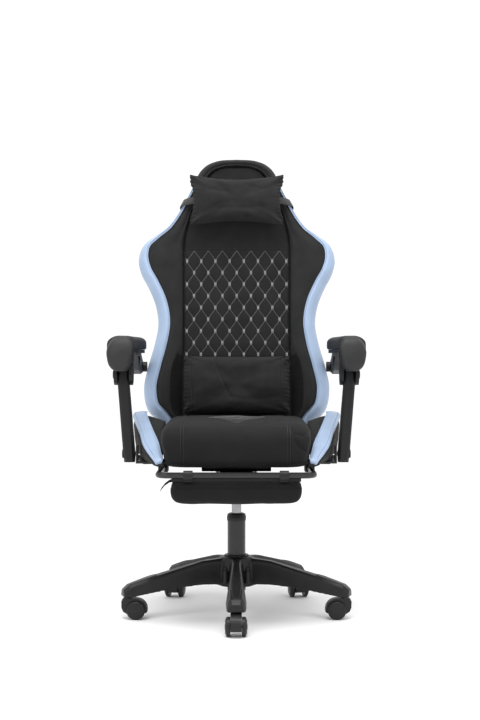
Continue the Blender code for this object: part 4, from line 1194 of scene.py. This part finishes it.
def seat_skirt(side, word):
    """The cloth that closes the underside between the seat board and the raised side."""
    inner = 0.2190
    rings = []
    for y, _, _, _, rim in resample(WING_STATIONS, 60, (0, 1, 2, 3), tight=True):
        if -0.073 < y < 0.130:
            ring = ((inner, 0.4190), (rim - 0.0040, 0.4185), (rim + 0.0022, 0.4215),
                    (rim + 0.0035, 0.4300), (inner, 0.4300))
            rings.append([(side * x, y, z) for x, z in ring])
    lofted(f"seat_skirt_{word}", rings, BOARD_CLOTH, "seat", "black_fabric", sharp=60)


def seat_plate_lip():
    """The folded front edge of the steel plate under the seat."""
    bm = bmesh.new()
    add_box(bm, (-0.0935, -0.1296, 0.4040), (0.0935, -0.1266, 0.4232))
    bmesh.ops.bevel(bm, geom=bm.edges[:], offset=0.0007, segments=2, affect="EDGES")
    to_object("seat_plate_lip", bm, BLACK_STEEL, "seat", "black_steel")


# ------------------------------------------------------------------ footrest

def footrest_pad():
    """The pad under the footrest's board, with rounded lower corners."""
    low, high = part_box("footrest_pad")
    stations = ((low.y + 0.001, 0.012), (low.y + 0.004, 0.005), (low.y + 0.012, 0.0015),
                (low.y + 0.03, 0.0005), (high.y - 0.03, 0.0005), (high.y - 0.010, 0.003),
                (high.y - 0.001, 0.010))
    rings = []
    for y, inset in stations:
        half = high.x - inset
        bottom = low.z + inset * 0.8
        top = high.z - inset * 0.3
        right = [(half - 0.027, bottom), (half - 0.007, bottom + 0.007), (half, bottom + 0.026),
                 (half, top - 0.008), (half - 0.008, top)]
        rings.append([(x, y, z) for x, z in rounded(symmetric(bottom, right, top), 2)])
    # painted shade: the darker seat cloth darkens the pad's front as if in shade
    made = lofted("footrest_pad_piece", rings, SHADED_SEAT_CLOTH)
    settled(made, 0.005, 4.0, 0.003)

    def change(point, normal):
        x, y, z = point
        soft = noise.noise(Vector((x * 16, y * 16, z * 20)))
        edge = groove(abs(z - (high.z - 0.013)), 0.0016, 0.0022) * (1 - smooth(abs(normal.z), 0.3, 0.9))
        return (0.0016 * soft - edge) * (1 - smooth(z, high.z - 0.006, high.z - 0.002))

    press(made, change)
    stuffed(made, "footrest_flap", "footrest_pad")


# ------------------------------------------------------------------ armrests

def arm_pad_ring(side, row):
    """Section of an arm pad: four elliptical corners, fullest on the outer side."""
    y, inner, outer, bottom, top = row
    high = top - bottom
    wide = outer - inner
    droop = 1 - smooth(y, -0.108, -0.101)
    full = wide * (0.46 - 0.10 * smooth(y, 0.0, 0.12))
    # right or left, above or below, width and height of the curve, and where its turn starts
    corners = (
        (True, True, full, min(0.021 + 0.022 * droop, high * 0.60), 0),
        (False, True, min(0.018, wide * 0.4), min(0.014 + 0.006 * droop, high * 0.45), 90),
        (False, False, 0.005 + 0.010 * droop, min(0.005 + 0.014 * droop, high * 0.30), 180),
        (True, False, 0.006 + 0.024 * droop, min(0.006 + 0.030 * droop, high * 0.32), 270),
    )
    middle = (inner + outer) / 2 * side
    ring = []
    for right, above, rx, rz, start in corners:
        rx = min(rx, wide * 0.46)
        cx = outer - rx if right else inner + rx
        cz = top - rz if above else bottom + rz
        for k in range(9):
            turn = math.radians(start + 11.25 * k)
            x = side * (cx + rx * math.cos(turn))
            z = cz + rz * math.sin(turn)
            # the drooping front narrows downward, and the top is slightly crowned
            x += (middle - x) * 0.20 * droop * smooth(0.735 - z, 0.0, 0.06)
            crown = 1 - ((x - middle) / wide * 2) ** 2
            ring.append((x, y, z + 0.0016 * crown * smooth(z, bottom + high * 0.6, top)))
    return ring


def arm_pad(side, word):
    """The soft pad, which rolls over the front of its shell, and the seam line round it."""
    rows = resample(PAD_STATIONS, 90, (0, 3), tight=True)
    made = lofted(f"arm_pad_piece_{word}", [arm_pad_ring(side, row) for row in rows], SOFT_PAD,
                  "arm_" + word, "soft_pad", (f"arm_pad_{word}",), sharp=50)
    lines = [[(side * (row[edge] + out), row[0], row[3] + (row[4] - row[3]) * 0.35) for row in rows
              if -0.095 < row[0] < 0.140] for edge, out in ((2, 0.0002), (1, -0.0002))]
    tubes(f"arm_pad_line_{word}", lines, 0.0008, 6, SOFT_PAD, "arm_" + word, "soft_pad")


def add_disc(bm, centre, way, radius, height, bevel, sides=24, socket=0.0):
    """A round boss or bolt head with a bevelled edge and, if asked, a six-sided socket."""
    way = Vector(way).normalized()
    first = way.orthogonal().normalized()
    second = way.cross(first)
    centre = Vector(centre)
    rings = [circle(centre + way * lift, first, second, reach, sides)
             for reach, lift in ((radius, 0.0), (radius, height - bevel),
                                 (radius - bevel * 0.3, height - bevel * 0.3), (radius - bevel, height))]
    if socket:
        hexed = []
        for k in range(sides):
            a = 2 * math.pi * k / sides
            fold = math.cos(math.pi / 6) / math.cos((a % (math.pi / 3)) - math.pi / 6)
            hexed.append((first * math.cos(a) + second * math.sin(a)) * socket * fold)
        for lift in (height, height * 0.35):
            rings.append([centre + way * lift + point for point in hexed])
    add_rings(bm, rings)


def bolts(name, body, side, heads):
    """Socket-headed bolts that point outward on one side of the chair."""
    bm = bmesh.new()
    for x, y, z, radius, height, bevel, socket in heads:
        add_disc(bm, (side * x, y, z), (side, 0, 0), radius, height, bevel, socket=socket)
    to_object(name, bm, BLACK_STEEL, body, "black_steel")


def arm_details(side, word):
    """Bolts on the armrest's shell, rear pivot and post."""
    bolts(f"arm_bolts_{word}", "arm_" + word, side,
          ((0.335, -0.070, 0.665, 0.0115, 0.0040, 0.0012, 0.0045),
           (0.311, 0.235, 0.685, 0.0090, 0.0035, 0.0010, 0.0040)))
    bolts(f"post_bolt_{word}", "post_" + word, side,
          ((0.3068, -0.100, 0.450, 0.0120, 0.0040, 0.0012, 0.0045),))


# ------------------------------------------------------------------ hard parts

def paint(obj, look):
    """Give an object one finish in place of those it came with."""
    obj.data.materials.clear()
    obj.data.materials.append(look)


def harden(node, look, bevel):
    """Give a CAD node its finish and soften its edges, leaving its mesh as it is."""
    obj = NODES[node]
    paint(obj, look)
    weld = obj.modifiers.new("Weld", "WELD")
    weld.merge_threshold = WELD
    flat = obj.modifiers.new("Flat", "DECIMATE")
    flat.decimate_type = "DISSOLVE"
    flat.angle_limit = math.radians(0.6)
    if bevel:
        edge = obj.modifiers.new("Bevel", "BEVEL")
        edge.width = bevel
        edge.segments = 2
        edge.limit_method = "ANGLE"
        edge.angle_limit = math.radians(30.0)
        edge.use_clamp_overlap = True
        edge.harden_normals = True


# The finish of each part that keeps its CAD mesh, and the width of its bevels.
HARD_PARTS = {
    "column_tube": (BLACK_STEEL, 0.0006), "column_bush": (BASE_PLASTIC, 0.0006),
    "gas_piston": (CHROME, 0.0004),
    "tilt_housing": (BLACK_STEEL, 0.0010), "tilt_pin": (BRIGHT_STEEL, 0.0005),
    "tension_knob": (BASE_PLASTIC, 0.0012), "tilt_spring": (BRIGHT_STEEL, 0.0),
    "lever_bush": (BASE_PLASTIC, 0.0006), "lift_lever": (BASE_PLASTIC, 0.0006),
    "seat_plate": (BLACK_STEEL, 0.0006), "seat_frame": (BOARD_CLOTH, 0.0008),
    "recline_lever": (BASE_PLASTIC, 0.0009), "back_frame": (BLACK_STEEL, 0.0004),
    "footrest_frame": (BLACK_STEEL, 0.0), "footrest_board": (ARM_PLASTIC, 0.0008),
}
for SIDE, WORD in SIDES:
    HARD_PARTS[f"hinge_plate_{WORD}"] = (BLACK_STEEL, 0.0010)
    HARD_PARTS[f"arm_bracket_{WORD}"] = (BLACK_STEEL, 0.0008)
    HARD_PARTS[f"arm_post_{WORD}"] = (ARM_PLASTIC, 0.0022)
    HARD_PARTS[f"arm_shell_{WORD}"] = (ARM_PLASTIC, 0.0012)
    HARD_PARTS[f"back_pivot_{WORD}"] = (ARM_PLASTIC, 0.0008)
    HARD_PARTS[f"footrest_guide_{WORD}"] = (ARM_PLASTIC, 0.0010)


def star_base():
    """The base with every edge rounded as it leaves its mould."""
    made = bpy.data.objects.new("star_base_piece", NODES["star_base"].data.copy())
    bpy.context.scene.collection.objects.link(made)
    paint(made, BASE_PLASTIC)
    weld = made.modifiers.new("Weld", "WELD")
    weld.merge_threshold = WELD
    bake(made)
    remesh(made, 0.0022)
    relax(made, 0.6, 6)
    lighter = made.modifiers.new("Lighter", "DECIMATE")
    lighter.ratio = 0.35
    bake(made)
    made.data.shade_smooth()
    paint(made, BASE_PLASTIC)
    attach(made, "base")
    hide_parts("star_base")


def base_details():
    """A raised panel on each leg, capped bosses on the hub between the legs, and two rings."""
    bm = bmesh.new()
    for leg in range(5):
        turn = Matrix.Rotation(math.radians(-90.0 + 72.0 * leg), 4, "Z")
        rings = []
        for grow, lift in ((0.0, -0.0030), (0.0, 0.0006), (-0.0007, 0.0013)):
            ring = [(reach, half + grow, z + lift) for reach, half, z in LEG_PANEL]
            ring += [(reach, -half - grow, z + lift) for reach, half, z in reversed(LEG_PANEL)]
            rings.append([turn @ Vector(point) for point in ring])
        add_rings(bm, rings)
        turn = Matrix.Rotation(math.radians(-54.0 + 72.0 * leg), 4, "Z")
        for z, radius, height, bevel in ((0.0880, HUB_BOSS_RADIUS, 0.0340, 0.0025),
                                         (0.1200, HUB_BOSS_RADIUS * 0.62, 0.0110, 0.0020)):
            add_disc(bm, turn @ Vector((HUB_BOSS_REACH, 0.0, z)), (0, 0, 1), radius, height, bevel)
    to_object("leg_panels", bm, BASE_PLASTIC, "base", "base_plastic", sharp=40)
    bm = bmesh.new()
    add_lathe(bm, ((0.0262, 0.1560), (0.0335, 0.1560), (0.0345, 0.1575), (0.0345, 0.1600),
                   (0.0330, 0.1615), (0.0270, 0.1615), (0.0262, 0.1605)))
    add_lathe(bm, ((0.0257, 0.2560), (0.0268, 0.2565), (0.0270, 0.2580), (0.0270, 0.2690),
                   (0.0262, 0.2702), (0.0257, 0.2702)))
    to_object("column_rings", bm, BASE_PLASTIC, "base", "base_plastic", sharp=40)


def centre_of(points):
    return sum(points, Vector()) / len(points)


def wheel_discs():
    """A dished hub disc on the outer face of each caster wheel."""
    for number in range(1, 6):
        points = {word: [vertex.co for vertex in NODES[f"caster_wheel_{number}_{word}"].data.vertices]
                  for word in ("left", "right")}
        for word, other in (("left", "right"), ("right", "left")):
            centre = centre_of(points[word])
            way = centre - centre_of(points[other])
            way.z = 0.0
            way.normalize()
            face = max((point - centre).dot(way) for point in points[word])
            bm = bmesh.new()
            add_disc(bm, centre + way * (face - 0.0010), way, 0.0185, 0.0022, 0.0008, 32)
            add_disc(bm, centre + way * (face + 0.0008), way, 0.0065, 0.0014, 0.0006)
            to_object(f"wheel_disc_{number}_{word}", bm, WHEEL_PLASTIC, f"wheel_{number}_{word}",
                      "wheel_plastic", sharp=40)


def hard_parts():
    """Finish every part that shows its CAD mesh."""
    for node in NODES:
        if node.startswith("caster_wheel"):
            harden(node, WHEEL_PLASTIC, 0.0012)
        elif node.startswith("caster"):
            harden(node, WHEEL_PLASTIC, 0.0008)
        elif node in HARD_PARTS:
            harden(node, *HARD_PARTS[node])


# ------------------------------------------------------------------ stage, lights and camera

def lamp(name, at, aim, size, power):
    """A square white soft box."""
    data = bpy.data.lights.new(name, "AREA")
    data.size = size
    data.energy = power
    made = bpy.data.objects.new(name, data)
    made.location = at
    made.rotation_euler = (Vector(aim) - Vector(at)).to_track_quat("-Z", "Y").to_euler()
    bpy.context.scene.collection.objects.link(made)


def studio():
    """A wide white floor in even white light, three soft boxes and the camera."""
    bm = bmesh.new()
    bmesh.ops.create_circle(bm, cap_ends=True, segments=96, radius=14.0)
    paper = Finish("studio_paper", (0.95, 0.95, 0.95), 0.8)
    paper.tint(paper.noise(3.0), 0.3, 0.7, (0.995, 1.005))
    to_object("studio_floor", bm, paper.material)
    world = bpy.data.worlds.new("studio_world")
    bpy.context.scene.world = world
    world.use_nodes = True
    sky = world.node_tree.nodes["Background"].inputs
    sky["Color"].default_value = (1.0, 1.0, 1.0, 1.0)
    sky["Strength"].default_value = 1.05
    lamp("key_light", (-2.0, -2.4, 3.0), (0, 0, 0.7), 2.0, 24.0)
    lamp("fill_light", (2.6, -2.2, 2.2), (0, 0, 0.7), 2.4, 9.0)
    lamp("top_light", (0.0, -0.7, 3.2), (0, 0, 0.8), 1.8, 72.0)
    bpy.context.scene.view_settings.view_transform = "Standard"
    data = bpy.data.cameras.new("camera")
    data.lens = CAMERA_LENS
    data.sensor_width = 36.0
    data.clip_start = 0.05
    camera = bpy.data.objects.new("camera", data)
    camera.location = CAMERA_AT
    camera.rotation_euler = (math.radians(90.0), 0.0, 0.0)
    bpy.context.scene.collection.objects.link(camera)
    bpy.context.scene.camera = camera


# ------------------------------------------------------------------ build

studio()
back_bolster()
back_panel()
quilting()
back_cover()
for SIDE, WORD in SIDES:
    back_trim(SIDE, WORD)
    back_piping(SIDE, WORD)
    seat_wing(SIDE, WORD)
    seat_skirt(SIDE, WORD)
    arm_pad(SIDE, WORD)
    arm_details(SIDE, WORD)
head_pillow()
head_strap()
lumbar_pillow()
seat_sewing(seat_cushion())
seat_plate_lip()
footrest_pad()
star_base()
base_details()
wheel_discs()
hard_parts()
